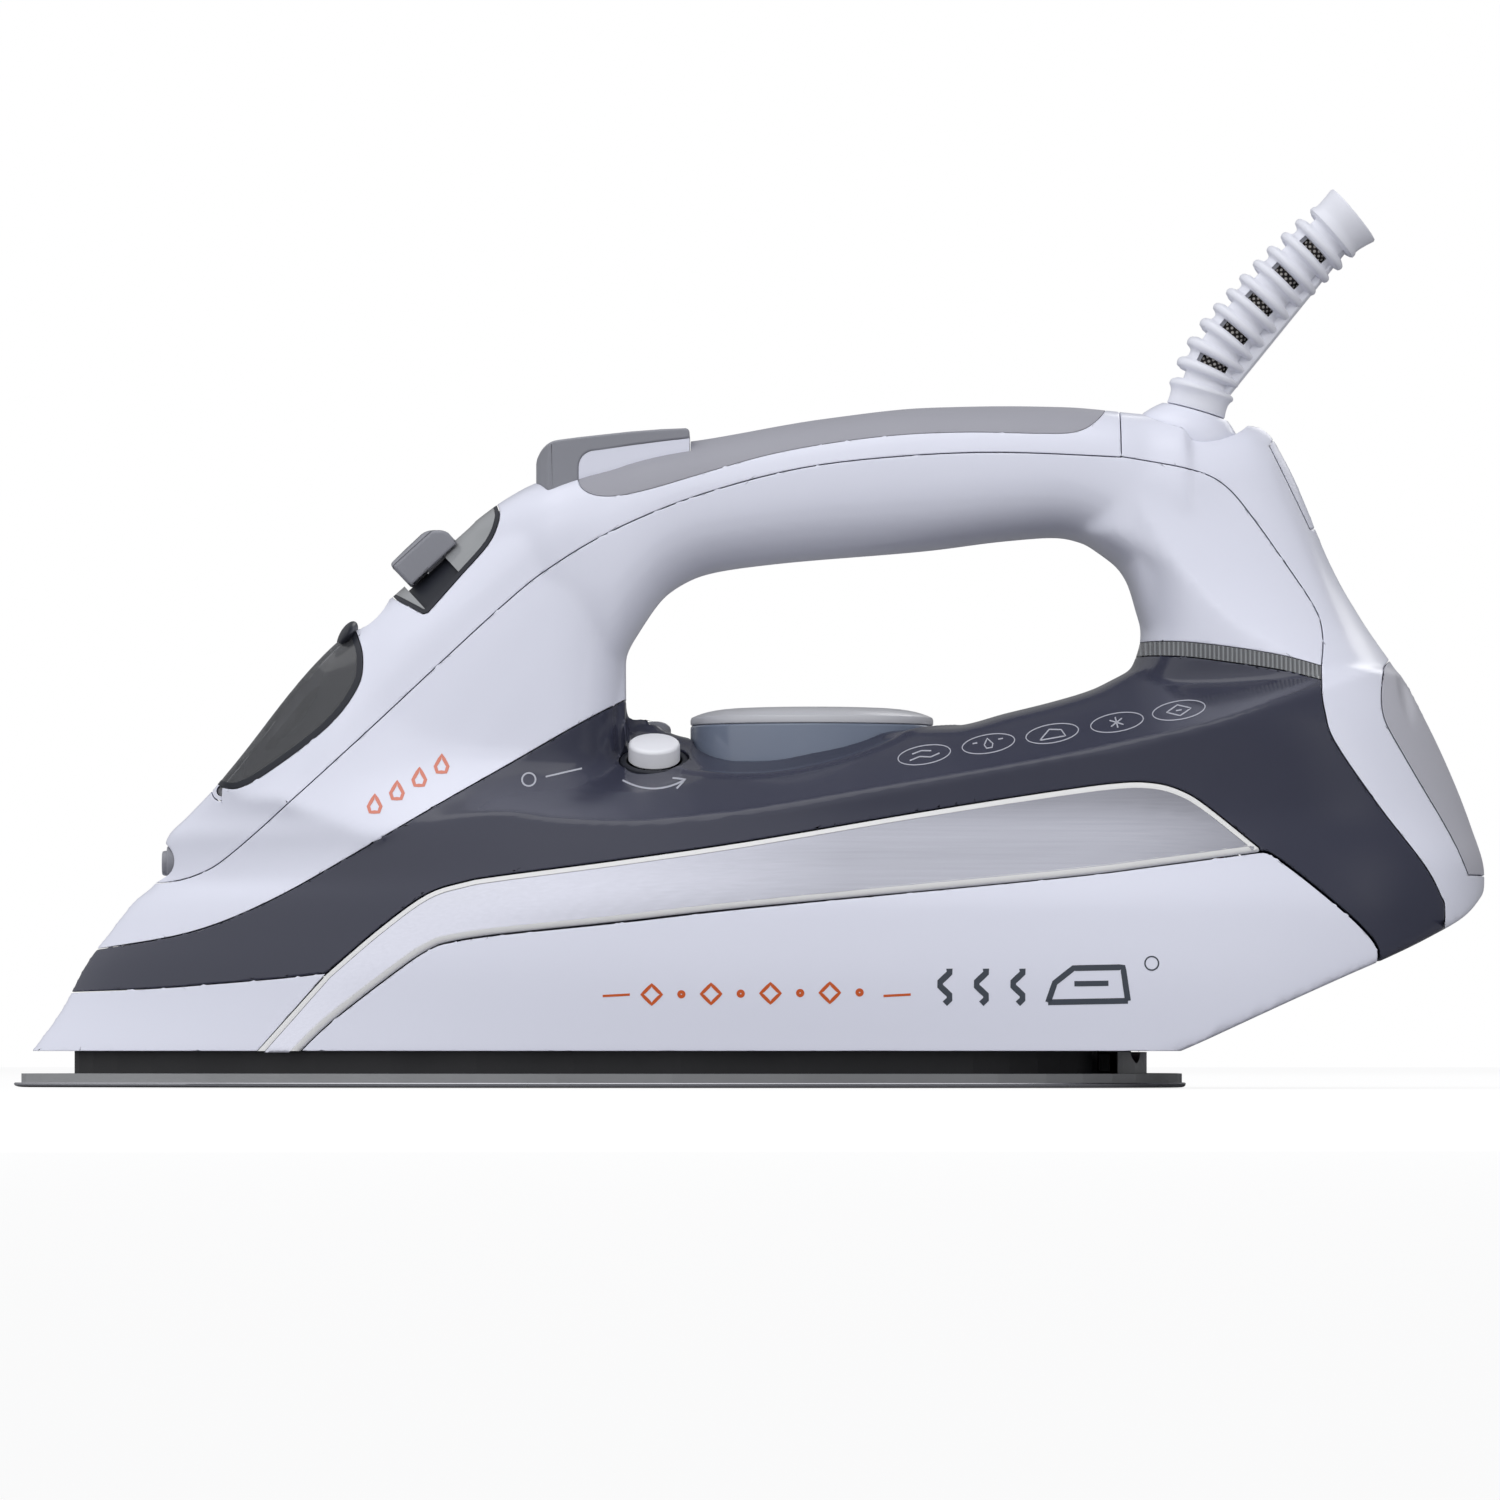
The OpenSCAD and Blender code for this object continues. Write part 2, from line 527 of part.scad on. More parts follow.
module valve_seal() {
    color("firebrick") translate([valve_x, 0, 50 + fit]) difference() {
        cylinder(r = 5, h = 2.5);
        translate([0, 0, -1]) cylinder(r = stem_r + fit, h = 5);
    }
}
// The shell with two shelves inside: one for the pumps, one for the terminal block.
module main_housing() {
    color("white") difference() {
        union() {
            shell(main_zone);
            intersection() {
                union() {
                    translate([-49.5, -out, pump_base + 1]) cube([39.5, 2 * out, wall]);
                    translate([80, -out, shelf_z]) cube([35, 2 * out, wall]);
                }
                whole(wall / 2);
                prism(main_zone, -seam);
            }
        }
        for (s = [-1, 1]) translate([pump_x, s * pump_y, 80]) cylinder(r = pump_r + 0.1, h = 30);
        rebate(lens_zone);
        translate([duct_x, 0, shelf_z - 4]) cylinder(r = duct_r, h = 12);
        guard_frame() translate([0, 0, -24]) cylinder(r = ball_r + 2.7 + gap, h = 40);
        hose_room();
    }
}
module hose_room() {
    tube(smooth(spray_hose_path, 4), hose_r + 0.5, 10);
}
button_room = [[-45.1, 120], [-45.1, 150], [-12.2, 150], [-12.2, 120]];
module button_opening() {
    rotate([90, 0, 0]) linear_extrude(2 * (button_half_w + gap), center = true)
        polygon(button_room);
}
// A frame on the ridge under the slider: its x runs up the ridge, its z out of it.
module ridge_frame() { translate(slider_at) rotate([0, -ridge_tilt, 0]) children(); }
module slider_slot() {
    ridge_frame() translate([-stem_l / 2 - gap, -stem_w / 2 - gap, -9])
        cube([stem_l + slider_travel + 2 * gap, stem_w + 2 * gap, 14]);
}
module top_cover() {
    color("white") difference() {
        shell(top_zone);
        prism(flap_zone, 0);
        translate(flap_pin_at) rotate([90, 0, 0]) {
            cylinder(r = pin_r + fit, h = 14 + 2 * fit, center = true);
            cylinder(r = 3.2, h = 9, center = true);
        }
        rebate(slider_zone);
        rebate(grip_zone);
        button_opening();
        slider_slot();
        translate(nozzle_at) rotate([0, 90, 0]) cylinder(r = 4.1, h = 30, center = true);
        guard_frame() translate([0, 0, -24]) cylinder(r = ball_r + 2.7 + gap, h = 40);
    }
}
module rear_cover() {
    color("white") difference() {
        shell(rear_zone);
        rebate(pad_zone);
        intersection() { rebate(plate_zone); translate([0, -9, 0]) cube([out, 18, out]); }
        guard_frame() translate([0, 0, -24]) cylinder(r = ball_r + 2.7 + gap, h = 40);
    }
}
module grip_insert() {
    color("darkgray") difference() {
        inlay(grip_zone);
        button_opening();
    }
}
module heel_pad() { color("darkgray") inlay(pad_zone); }
module rear_plate() {
    color("white") intersection() {
        inlay(plate_zone);
        translate([0, -9 + seam, 0]) cube([out, 18 - 2 * seam, out]);
    }
}
module lens_strip() { color("lightsteelblue", 0.7) inlay(lens_zone); }
module dial_shaft() {
    color("silver") translate([dial_x, 0, chamber_top + 15.5])
        cylinder(r = shaft_r, h = dial_z + dial_h - 1 - chamber_top - 15.5);
}
module temperature_dial() {
    color("#6f8090") translate([dial_x, 0, dial_z]) difference() {
        cylinder(r = dial_r, h = dial_h);
        translate([0, 0, -1]) cylinder(r = shaft_r + fit, h = dial_h);
        translate([0, 0, -1]) difference() {
            cylinder(r = dial_r - 3, h = dial_h - 1);
            cylinder(r = shaft_r + 3, h = dial_h);
        }
    }
}
module dial_cap() {
    dome_r = (dial_r * dial_r + cap_dome * cap_dome) / (2 * cap_dome);
    color("lightgray") translate([dial_x, 0, dial_z + dial_h]) rotate_extrude()
        polygon(concat([[0, 0], [dial_r, 0]], [for (k = [6:-1:0]) let (r = dial_r * k / 6)
            [r, cap_edge + cap_dome - dome_r + sqrt(dome_r * dome_r - r * r)]]));
}

// Thumb buttons with their pumps, one on each side of the middle.
cap_side = [[-44.5, 126.4], [-44.7, 131.5], [-43.9, 133.4], [-40.7, 135.4], [-37.6, 136.2],
    [-25, 137.8], [-12.6, 138.6], [-12.6, 135.6], [-30, 133.2], [-34.6, 131], [-34.6, 126]];
module thumb_button(side) {
    width = button_half_w - gap / 2;
    color("gray") {
        translate([0, side * (button_half_w + gap / 2) / 2, 0]) rotate([90, 0, 0])
            linear_extrude(width, center = true) polygon(cap_side);
        translate([pump_x, side * pump_y, collar_z + 2])
            cylinder(r = piston_r, h = 134.5 - collar_z - 2);
    }
}
module spray_button() { thumb_button(-1); }
module steam_button() { thumb_button(1); }
module piston(side) {
    color("gainsboro") translate([pump_x, side * pump_y, pump_base + 6]) {
        cylinder(r = piston_r, h = collar_z - pump_base - 6);
        translate([0, 0, collar_z - pump_base - 6]) cylinder(r = pump_r, h = 2);
    }
}
module spray_piston() { piston(-1); }
module steam_piston() { piston(1); }
module pump(side) {
    color("ivory") translate([pump_x, side * pump_y, 0]) difference() {
        union() {
            translate([0, 0, pump_base]) cylinder(r = pump_r, h = pump_top - pump_base);
            translate([0, 0, pump_base + 1 + wall + fit]) cylinder(r = pump_r + 1, h = 2);
            translate([0, 0, 62]) cylinder(r = 2, h = pump_base - 61);
        }
        translate([0, 0, pump_base + 2]) cylinder(r = piston_r + fit, h = pump_top);
        translate([0, 0, 50]) cylinder(r = 1.1, h = pump_base - 48 + 1);
    }
}
module spray_pump() { pump(-1); }
module steam_pump() { pump(1); }
module pump_spring(side) {
    color("silver") translate([pump_x, side * pump_y, pump_top + fit])
        spring(piston_r + 0.9, 0.4, collar_z - pump_top - 2 * fit, 5);
}
module spray_spring() { pump_spring(-1); }
module steam_spring() { pump_spring(1); }

// Hoses from the pumps: one to the nozzle, one down beside the tank's front wall.
hose_r = 1.6;
spray_hose_path = [[pump_x - 5.9, -6.2, 99.2], [-51, -9, 97.5], [-62, -11, 88],
    [-78, -12.5, 72], [-94, -12, 58], [-108, -7, 49.5], [-117.8, -1, 47]];
module pump_hoses() {
    color("whitesmoke") tube(smooth(spray_hose_path, 4), hose_r, 10);
}
module spray_nozzle() {
    color("gray") translate(nozzle_at) rotate([0, 90, 0]) difference() {
        union() {
            translate([0, 0, -0.8]) cylinder(r = 2.6, h = 7.2);
            translate([0, 0, 0.3]) cylinder(r = 3.7, h = 2);
        }
        translate([0, 0, -2]) cylinder(r = 0.6, h = 12);
    }
}

// Steam slider: a knob above the ridge, a carriage below it, and a ramp over the valve rod.
knob_side = [[-75.2, 103.8], [-75.4, 110], [-72.2, 113.8], [-69, 116.3], [-66, 117.3],
    [-62.8, 116], [-61.4, 115.8]];
ramp_side = [[valve_x + 3, 88.3], [valve_x - 8.4, 79.6], [valve_x - 8.4, 84],
    [valve_x - 4, 92], [valve_x - 5, 103], [valve_x, 106.5]];
module steam_slider() {
    color("gray") {
        rotate([90, 0, 0]) linear_extrude(12, center = true) polygon(knob_side);
        rotate([90, 0, 0]) linear_extrude(4, center = true) polygon(ramp_side);
        ridge_frame() {
            translate([-stem_l / 2, -stem_w / 2, -6]) cube([stem_l, stem_w, 8]);
            translate([-5, -4, -carriage_z - 2.5]) cube([10, 8, 2.5]);
        }
    }
}
module slider_panel() {
    color("#3c4048", 0.8) difference() {
        inlay(slider_zone);
        slider_slot();
    }
}
module valve_rod() {
    color("silver") translate([valve_x, 0, chamber_top + seal_t - 1])
        cylinder(r = stem_r, h = valve_top - chamber_top - seal_t + 1);
}
module filler_neck() {
    color("whitesmoke") difference() {
        union() {
            intersection() {
                difference() { whole(wall + gap); whole(wall + gap + 1.4); }
                prism(flap_zone, 2);
            }
            intersection() {
                translate([filler_x, 0, 46]) cylinder(r = 8, h = 60);
                whole(wall + gap);
            }
        }
        translate([filler_x, 0, 30]) cylinder(r = 6.4, h = 80);
        translate([-115, -out, 40]) cube([9, 2 * out, 40]);
        slider_slot();
    }
}
module filler_flap() {
    color("#3c4048", 0.8) difference() {
        union() {
            intersection() {
                difference() { whole(0); whole(wall); }
                prism(flap_zone, -seam / 2);
            }
            translate(flap_pin_at) rotate([90, 0, 0])
                cylinder(r = pin_r + 1, h = 6, center = true);
        }
        translate(flap_pin_at) rotate([90, 0, 0])
            cylinder(r = pin_r + fit, h = 20, center = true);
    }
}
module flap_pin() {
    color("silver") translate(flap_pin_at) rotate([90, 0, 0])
        cylinder(r = pin_r, h = 14, center = true);
}

// The two round knobs on the deck, each on a sprung rod.
module knob_rod() { translate([0, 0, -guide_len - 2]) cylinder(r = rod_r, h = guide_len + 3); }
module clean_button() {
    color("white") knob_axis(-1) {
        knob_rod();
        translate([0, 0, 0.4]) cylinder(r = knob_r, h = 3.8);
    }
}
module lock_button() {
    color("dimgray") knob_axis(1) {
        knob_rod();
        translate([0, 0, 0.4]) cylinder(r = knob_r - 2, h = 6.8);
    }
}
module knob_spring(side) {
    color("silver") knob_axis(side) translate([0, 0, -knob_travel - 2 + fit])
        spring(rod_r + 0.8, 0.35, knob_travel + 2.4 - 2 * fit, 3);
}
module clean_spring() { knob_spring(-1); }
module lock_spring() { knob_spring(1); }

// The cord guard on its ball, in the socket on top of the rear housing.
module guard_frame() { translate(guard_at) rotate([0, guard_tilt, 0]) children(); }
ball_drop = 9;
collar_h = 5;
guard_len = 54;
rib_pitch = 4;
// The guard's middle line: the tilt grows quickly at first, then slowly.
function guard_lean(s) = lookup(s, [[collar_h, 0], [19, 22], [guard_len, 33]]);
function guard_point(s) = s < 0.5 ? [0, 0, s] : guard_point(s - 0.5)
    + 0.5 * [sin(guard_lean(s - 0.25)), 0, cos(guard_lean(s - 0.25))];
// A tube swept along the guard's line with its own radius at each stop and a plain bore.
module pipe(stops, radii, bore, sides) {
    inner = [for (s = [guard_len:-4:1]) s];
    line = concat(stops, inner, [stops[0]]);
    size = concat(radii, [for (s = inner) bore], [bore]);
    n = len(line);
    rings = [for (m = [0:n - 1]) let (lean = guard_lean(line[m]))
        for (k = [0:sides - 1]) guard_point(line[m]) + size[m]
            * [cos(360 * k / sides) * cos(lean), sin(360 * k / sides),
                -cos(360 * k / sides) * sin(lean)]];
    polyhedron(rings, [for (m = [0:n - 1], k = [0:sides - 1])
        let (j = (k + 1) % sides, next = (m + 1) % n)
        [m * sides + k, next * sides + k, next * sides + j, m * sides + j]]);
}
// Stops along the guard, four to a rib, and the radius at each.
rib_half = 0.9;
guard_stops = concat([0.6, collar_h], [for (k = [1:10], d = [-1.3, -1, 1, 1.3])
    collar_h + k * rib_pitch + d * rib_half], [guard_len - 6.4, guard_len - 6, guard_len]);
guard_radii = concat([rib_r, rib_r], [for (k = [1:10], d = [0, 1, 1, 0])
    d == 1 ? rib_r : guard_r], [guard_r, rib_r, rib_r + 0.3]);
module cord_guard() {
    color("whitesmoke") guard_frame() pipe(guard_stops, guard_radii, guard_bore_r, 14);
}
module swivel_ball() {
    color("whitesmoke") guard_frame() difference() {
        union() {
            translate([0, 0, -ball_drop]) sphere(r = ball_r);
            translate([0, 0, -ball_drop]) cylinder(r = guard_r, h = ball_drop + 0.5);
        }
        translate([0, 0, -ball_drop - ball_r - 1])
            cylinder(r = guard_bore_r, h = ball_drop + ball_r + 3);
    }
}
module lead() {
    color("dimgray") guard_frame()
        tube(concat([[0, 0, -ball_drop - ball_r], [0, 0, -1]],
            [for (s = [1:3:guard_len - 4]) guard_point(s)]), lead_r, 16);
}
module swivel_socket() {
    color("white") guard_frame() difference() {
        translate([0, 0, -20]) cylinder(r = ball_r + 2.7, h = 20);
        translate([0, 0, -ball_drop]) sphere(r = ball_r + gap);
        translate([0, 0, -21]) cylinder(r = ball_r - 2, h = 8);
        translate([0, 0, -ball_drop]) cylinder(r = guard_r + gap, h = 20);
    }
}
module cord_clamp() {
    color("gray") translate([85, 0, shelf_z + wall + fit]) difference() {
        translate([-3, -9, 0]) cube([6, 18, 5]);
        for (y = [-5, 5]) translate([0, y, -1]) cylinder(r = 1.5, h = 8);
    }
}
module terminal_block() {
    color("ivory") translate([98, 0, shelf_z + wall + fit])
        translate([-7, -11, 0]) cube([14, 22, 7.5]);
}
module indicator_lamp() {
    color("orange") translate([92, -9, shelf_z - 10]) cylinder(r = 2.4, h = 10 - fit);
}
wire_r = 1.2;
wire_paths = [for (s = [-1, 1]) [[element_end + 9.9, s * element_span / 2, element_z],
    [86, s * 28, 14], [94, s * 15, 24], [duct_x, s * 2.5, 36], [duct_x, s * 2.5, 90],
    [duct_x, s * 2.5, shelf_z + wall - 0.2]]];
module wires() {
    color("firebrick") for (path = wire_paths) tube(smooth(path, 4), wire_r, 8);
}
module housing_screws() {
    color("silver") for (y = [-5, 5]) translate([85, y, shelf_z + wall + fit]) {
        cylinder(r = 1.5 - fit, h = 5.1);
        translate([0, 0, 5 + fit]) cylinder(r = 2.6, h = 1.6);
    }
}
soleplate();
heater_casting();
heating_element();
chamber_gasket();
steam_chamber_cover();
casting_screws();
thermostat();
thermal_fuse();
heat_shield();
nose_skirt();
side_panel_left();
side_panel_right();
trim_left();
trim_right();
water_tank();
valve_seal();
main_housing();
top_cover();
rear_cover();
grip_insert();
heel_pad();
rear_plate();
lens_strip();
dial_shaft();
temperature_dial();
dial_cap();
spray_button();
steam_button();
spray_piston();
steam_piston();
spray_pump();
steam_pump();
spray_spring();
steam_spring();
pump_hoses();
spray_nozzle();
steam_slider();
slider_panel();
valve_rod();
filler_neck();
filler_flap();
flap_pin();
clean_button();
lock_button();
clean_spring();
lock_spring();
cord_guard();
swivel_ball();
lead();
swivel_socket();
cord_clamp();
terminal_block();
indicator_lamp();
wires();
housing_screws();
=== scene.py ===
import bpy, bmesh
import numpy as np
from math import atan2, cos, dist, hypot, pi, radians, sin, tan
from mathutils import Matrix, Vector
from mathutils.bvhtree import BVHTree


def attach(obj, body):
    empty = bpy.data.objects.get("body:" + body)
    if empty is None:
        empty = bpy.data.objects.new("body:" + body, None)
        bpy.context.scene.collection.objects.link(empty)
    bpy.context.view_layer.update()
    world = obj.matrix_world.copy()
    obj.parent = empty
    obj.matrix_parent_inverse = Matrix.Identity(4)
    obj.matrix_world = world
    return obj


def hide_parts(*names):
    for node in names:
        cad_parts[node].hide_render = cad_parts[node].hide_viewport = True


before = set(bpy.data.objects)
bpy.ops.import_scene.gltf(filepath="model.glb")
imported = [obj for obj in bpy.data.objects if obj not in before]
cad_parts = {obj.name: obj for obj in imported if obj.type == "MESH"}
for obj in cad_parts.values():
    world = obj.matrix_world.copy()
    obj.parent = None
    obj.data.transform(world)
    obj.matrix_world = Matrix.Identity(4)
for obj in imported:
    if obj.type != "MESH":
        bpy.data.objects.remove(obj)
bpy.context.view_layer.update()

scene = bpy.context.scene
scene.view_settings.view_transform = "Standard"
MM = 0.001

# --- Camera ---
# A long lens at the iron's left side, almost down on the table and tipped up a
# little, so that the side is seen square on and the dial from just below.
lens, view_width, view_middle, eye_height = 300, 315 * MM, 70.8 * MM, 8 * MM
cam = bpy.data.objects.new("camera", bpy.data.cameras.new("camera"))
scene.collection.objects.link(cam)
cam.data.lens = lens
cam.data.clip_end = 20
cam.location = (0, -view_width * lens / 36, eye_height)
sight = Vector((0, 0, view_middle)) - cam.location
cam.rotation_euler = sight.to_track_quat("-Z", "Y").to_euler()
scene.camera = cam

# --- Studio ---
# A pale floor and a white room: large soft lamps overhead and in front, weaker
# ones low, behind and at the heel, so that the white keeps its soft grey shades.
def lamp(name, place, aim, size, watts, mirrored=True):
    light = bpy.data.lights.new(name, "AREA")
    light.shape, light.size, light.size_y = "RECTANGLE", *size
    light.energy = watts
    ob = bpy.data.objects.new(name, light)
    ob.location = place
    ob.rotation_euler = (Vector(aim) - Vector(place)).to_track_quat("-Z", "Y").to_euler()
    ob.visible_glossy = mirrored
    scene.collection.objects.link(ob)

lamp("overhead", (-0.25, -0.2, 1.3), (0, 0, 0.06), (1.1, 0.8), 2.3)
lamp("front", (-0.4, -1.35, 1.1), (0, 0, 0.07), (1.2, 0.7), 4.9, False)
lamp("low", (0.15, -1.6, 0.2), (0, 0, 0.06), (1.4, 0.3), 3, False)
lamp("rear", (0.6, 1.2, 0.8), (0, 0, 0.08), (0.8, 0.6), 2.4)
lamp("heel", (1.2, -0.8, 0.6), (0.05, 0, 0.07), (0.6, 0.6), 5.2, False)

def put(tree, kind, **values):
    node = tree.nodes.new("ShaderNode" + kind)
    for key, value in values.items():
        if hasattr(node, key):
            setattr(node, key, value)
        else:
            node.inputs[key.replace("_", " ")].default_value = value
    return node
def wire(tree, *joins):
    for source, leaves, target, enters in joins:
        tree.links.new(source.outputs[leaves], target.inputs[enters])
room = bpy.data.worlds.new("room")
scene.world = room
room.use_nodes = True
tree = room.node_tree
tree.nodes.clear()
path, where = put(tree, "LightPath"), put(tree, "TexCoord")
seen = put(tree, "Math", operation="MAXIMUM")
toward = put(tree, "VectorMath", operation="DOT_PRODUCT")
toward.inputs[1].default_value = (-0.75, -0.25, 0.61)
spread, wall = put(tree, "MapRange", From_Min=-1), put(tree, "ValToRGB")
for spot, tone in ((0, 0.17), (0.5, 0.27), (0.64, 0.35), (0.79, 0.66), (0.93, 1.05)):
    stop = wall.color_ramp.elements.new(spot) if 0 < spot else wall.color_ramp.elements[0]
    stop.position, stop.color = spot, (tone * 0.96, tone * 0.97, tone, 1)
wall.color_ramp.elements[-1].color = (0.98, 0.99, 1, 1)
dim, white = put(tree, "Background", Strength=0.95), put(tree, "Background", Color=(1, 1, 1, 1))
mix, world_out = put(tree, "MixShader"), put(tree, "OutputWorld")
wire(tree, (where, "Generated", toward, 0), (toward, "Value", spread, "Value"),
     (spread, "Result", wall, "Fac"), (wall, "Color", dim, "Color"),
     (path, "Is Camera Ray", seen, 0), (path, "Is Transmission Ray", seen, 1),
     (seen, 0, mix, 0), (dim, 0, mix, 1), (white, 0, mix, 2), (mix, 0, world_out, 0))

def pick(*obs):
    bpy.ops.object.select_all(action="DESELECT")
    for ob in reversed(obs):
        ob.select_set(True)
        bpy.context.view_layer.objects.active = ob
def material_of(name, **plain):
    mat = bpy.data.materials.new(name)
    mat.use_nodes = True
    face = mat.node_tree.nodes["Principled BSDF"]
    for key, value in plain.items():
        face.inputs[key.replace("_", " ")].default_value = value
    return mat, mat.node_tree, face
pick()
bpy.ops.mesh.primitive_plane_add(size=6, location=(0, 0, -0.2 * MM))
floor = bpy.context.object
floor.name = "floor"
bpy.ops.object.transform_apply(location=True)
pale, tree, skin = material_of("pale_floor", Base_Color=(0.93, 0.93, 0.94, 1), Roughness=0.8)
bounce = put(tree, "BsdfDiffuse", Color=(0.3, 0.3, 0.31, 1))
glow = put(tree, "Emission", Color=(1, 1, 1, 1), Strength=1.04)
path, lit, mix = put(tree, "LightPath"), put(tree, "MixShader", Fac=0.84), put(tree, "MixShader")
wire(tree, (skin, 0, lit, 1), (glow, 0, lit, 2), (path, "Is Camera Ray", mix, 0),
     (bounce, 0, mix, 1), (lit, 0, mix, 2), (mix, 0, tree.nodes["Material Output"], "Surface"))
floor.data.materials.append(pale)

# --- Body form ---
# The outer form that all the mouldings share: the lower body with its sloping
# deck, the front neck, the handle and the tail. It is lofted from cross
# sections, joined, and its creases are softened as in a moulding tool.
def curve(points):
    p = np.array(points, float)
    x, y = p[:, 0], p[:, 1]
    h = np.diff(x)
    d = np.diff(y) / h
    m = np.concatenate([[d[0]], np.zeros(len(x) - 2), [d[-1]]])
    for i in range(1, len(x) - 1):
        if d[i - 1] * d[i] > 0:
            a, b = 2 * h[i] + h[i - 1], h[i] + 2 * h[i - 1]
            m[i] = (a + b) / (a / d[i - 1] + b / d[i])
    def at(v):
        v = np.clip(np.asarray(v, float), x[0], x[-1])
        i = np.clip(np.searchsorted(x, v) - 1, 0, len(h) - 1)
        t = (v - x[i]) / h[i]
        return ((2 * t**3 - 3 * t**2 + 1) * y[i] + (t**3 - 2 * t**2 + t) * h[i] * m[i]
                + (3 * t**2 - 2 * t**3) * y[i + 1] + (t**3 - t**2) * h[i] * m[i + 1])
    return at

front_line = curve([
    (0, -156), (7.6, -151), (13.6, -146.5), (18, -143.7), (26.5, -139.2), (31, -135.8),
    (39.4, -129.1), (43.7, -124.3), (48, -123.6), (52.3, -122.5), (56.6, -118.2), (63, -111.8),
    (92, -88), (103, -75.2), (122, -53.6), (126, -47), (134, -30)])
front_z = np.linspace(0, 134, 500)
def ridge_line(x):
    return float(np.interp(x, front_line(front_z), front_z))
heel_line = curve([
    (40, 154), (45, 154), (54, 151.4), (70, 145), (88, 135.5), (97, 129.4), (108, 123),
    (130, 113.6), (134, 111.4), (137.5, 109.3), (139.6, 105.4)])
under_line = curve([
    (70, 0.2), (90, 8.2), (103.4, 14.3), (112.6, 18.5), (123.4, 23.3), (132.9, 27.4),
    (141.2, 31.4), (148.9, 35.8), (154, 41)])
deck_line = curve([
    (-60, 74), (-25, 78.5), (-15, 75.5), (42, 75.7), (54, 78.5), (64, 81), (72, 83.5), (77, 86),
    (84, 89), (120, 89), (136, 87), (145, 70), (151.4, 54), (154, 45)])
shoulder_line = curve([
    (-130, 30), (-117, 32.3), (-101, 38.3), (-82, 48.2), (-70, 53.4), (-60, 56.3), (-51, 56.9),
    (-40, 55.6), (-25, 54.9), (-10, 56), (31, 62.4), (94, 75), (113, 81.3), (130, 87)])
deck_lean = curve([(-130, 80), (-92, 70), (-76, 50), (-62, 33), (-50, 25.5), (-40, 24), (150, 24)])
grip_top = curve([
    (-47, 126), (-30, 133), (-9, 136.1), (16, 140.4), (38, 142.7), (54, 143), (66, 142.8),
    (82, 141.4), (98, 140.4), (104, 139.9), (108, 138.8)])
grip_under = curve([
    (-58, 98), (-47, 95), (-30, 84), (-24.4, 93.7), (-17, 103.7), (-9, 107.7), (3, 109.6),
    (38, 112.7), (54, 114.7), (64, 115.4), (72, 113.4), (79, 106.5), (82, 97), (84, 92),
    (110, 92)])
neck_line = curve([(84, 77), (88.6, 80.4), (95, 82.1), (101, 81.3), (107, 79), (116, 68)])
body_width = curve([(7, 57.5), (22, 58), (36, 57), (48, 53), (58, 49.5), (75, 48), (95, 39.5)])
neck_width = curve([
    (20, 22), (35, 24.5), (48, 30), (66, 22.5), (80, 20.5), (100, 18.8), (135, 18)])
tail_width = curve([
    (40, 49.5), (75, 46.5), (88, 36), (97, 29), (110, 23.5), (126, 19.5), (140, 18.6)])
grip_width = curve([(-58, 9), (-50, 13.5), (-40, 18), (35, 18.5), (92, 19.5)])

def bulge(v, power):
    return (1 - np.clip(v, 0, 1) ** power) ** (1 / power)
def nose_plan(x, tip, reach, power):
    return (1 - np.clip((tip + reach - x) / reach, 0, 1) ** 2) ** power
def flank(x, z):
    tip, end = front_line(z), heel_line(z)
    return (body_width(z) * nose_plan(x, tip, 20 - tip, 0.8)
            * bulge((x - 70) / (end - 70), 2.6))
neck_plan = curve([
    (0, 0), (0.7, 0.15), (2.5, 0.31), (6, 0.49), (10, 0.645), (14, 0.785), (16.5, 0.845),
    (19, 0.872), (25, 0.91), (36, 0.97), (48, 1)])
def neck_half(x, z):
    return (neck_width(z) * neck_plan(x - front_line(z)) * bulge((x + 42) / 16, 2.4))
def roof_half(x, z):
    base = shoulder_line(x)
    return flank(x, base) - (z - base) / tan(radians(deck_lean(x)))
def blended(x, z):
    side, roof = neck_half(x, z), roof_half(x, z)
    reach = np.interp(x, (-116, -84, -34, -26), (1, 11, 11, 4)) * np.clip(side / 8, 0.05, 1)
    return (np.maximum(side, roof)
            + np.maximum(reach - np.abs(side - roof), 0) ** 2 / (4 * reach))
def lower_outline(x):
    low, tall = max(float(under_line(x)), 1), x < -26
    top = (ridge_line(x) if x < -47 else 120) if tall else float(deck_line(x))
    edge = low + min(float(shoulder_line(x)) - low, 0.5 * (top - low) if tall else top - 5 - low)
    t = np.linspace(0, 1, 64)
    z = np.concatenate([np.linspace(low, edge, 26, endpoint=False),
                        edge + (top - edge) * (1 - (1 - t) ** 1.7)])
    if tall:
        side = flank(x, z) + 30 * np.clip((z - 46) / 30, 0, 1) ** 2
        return np.where(z > shoulder_line(x), np.minimum(side, blended(x, z)), flank(x, z)), z
    bend = top - 2
    return np.minimum(flank(x, z),
                      roof_half(x, np.minimum(z, bend)) * bulge((z - bend) / 2, 2)), z
heel_z = np.linspace(40, 139.5, 200)
def tail_half(x, z):
    top = np.minimum(grip_top(x), np.interp(-x, -heel_line(heel_z), heel_z))
    width = np.minimum(tail_width(z), 19.5 + 0.45 * np.maximum(0, x - 80))
    return (width * bulge((x - heel_line(z) + 45) / 45, 2.2)
            * bulge((neck_line(z) + 12 - x) / 12, 2.4) * bulge((z - top + 14) / 14, 2))
def tail_outline(z):
    x = np.arange(70, 150, 0.1)
    held = x[tail_half(x, z) > 0.3]
    x = held[0] + (held[-1] - held[0]) * (0.5 - 0.5 * np.cos(np.linspace(0, pi, 60)))
    return x, tail_half(x, z)
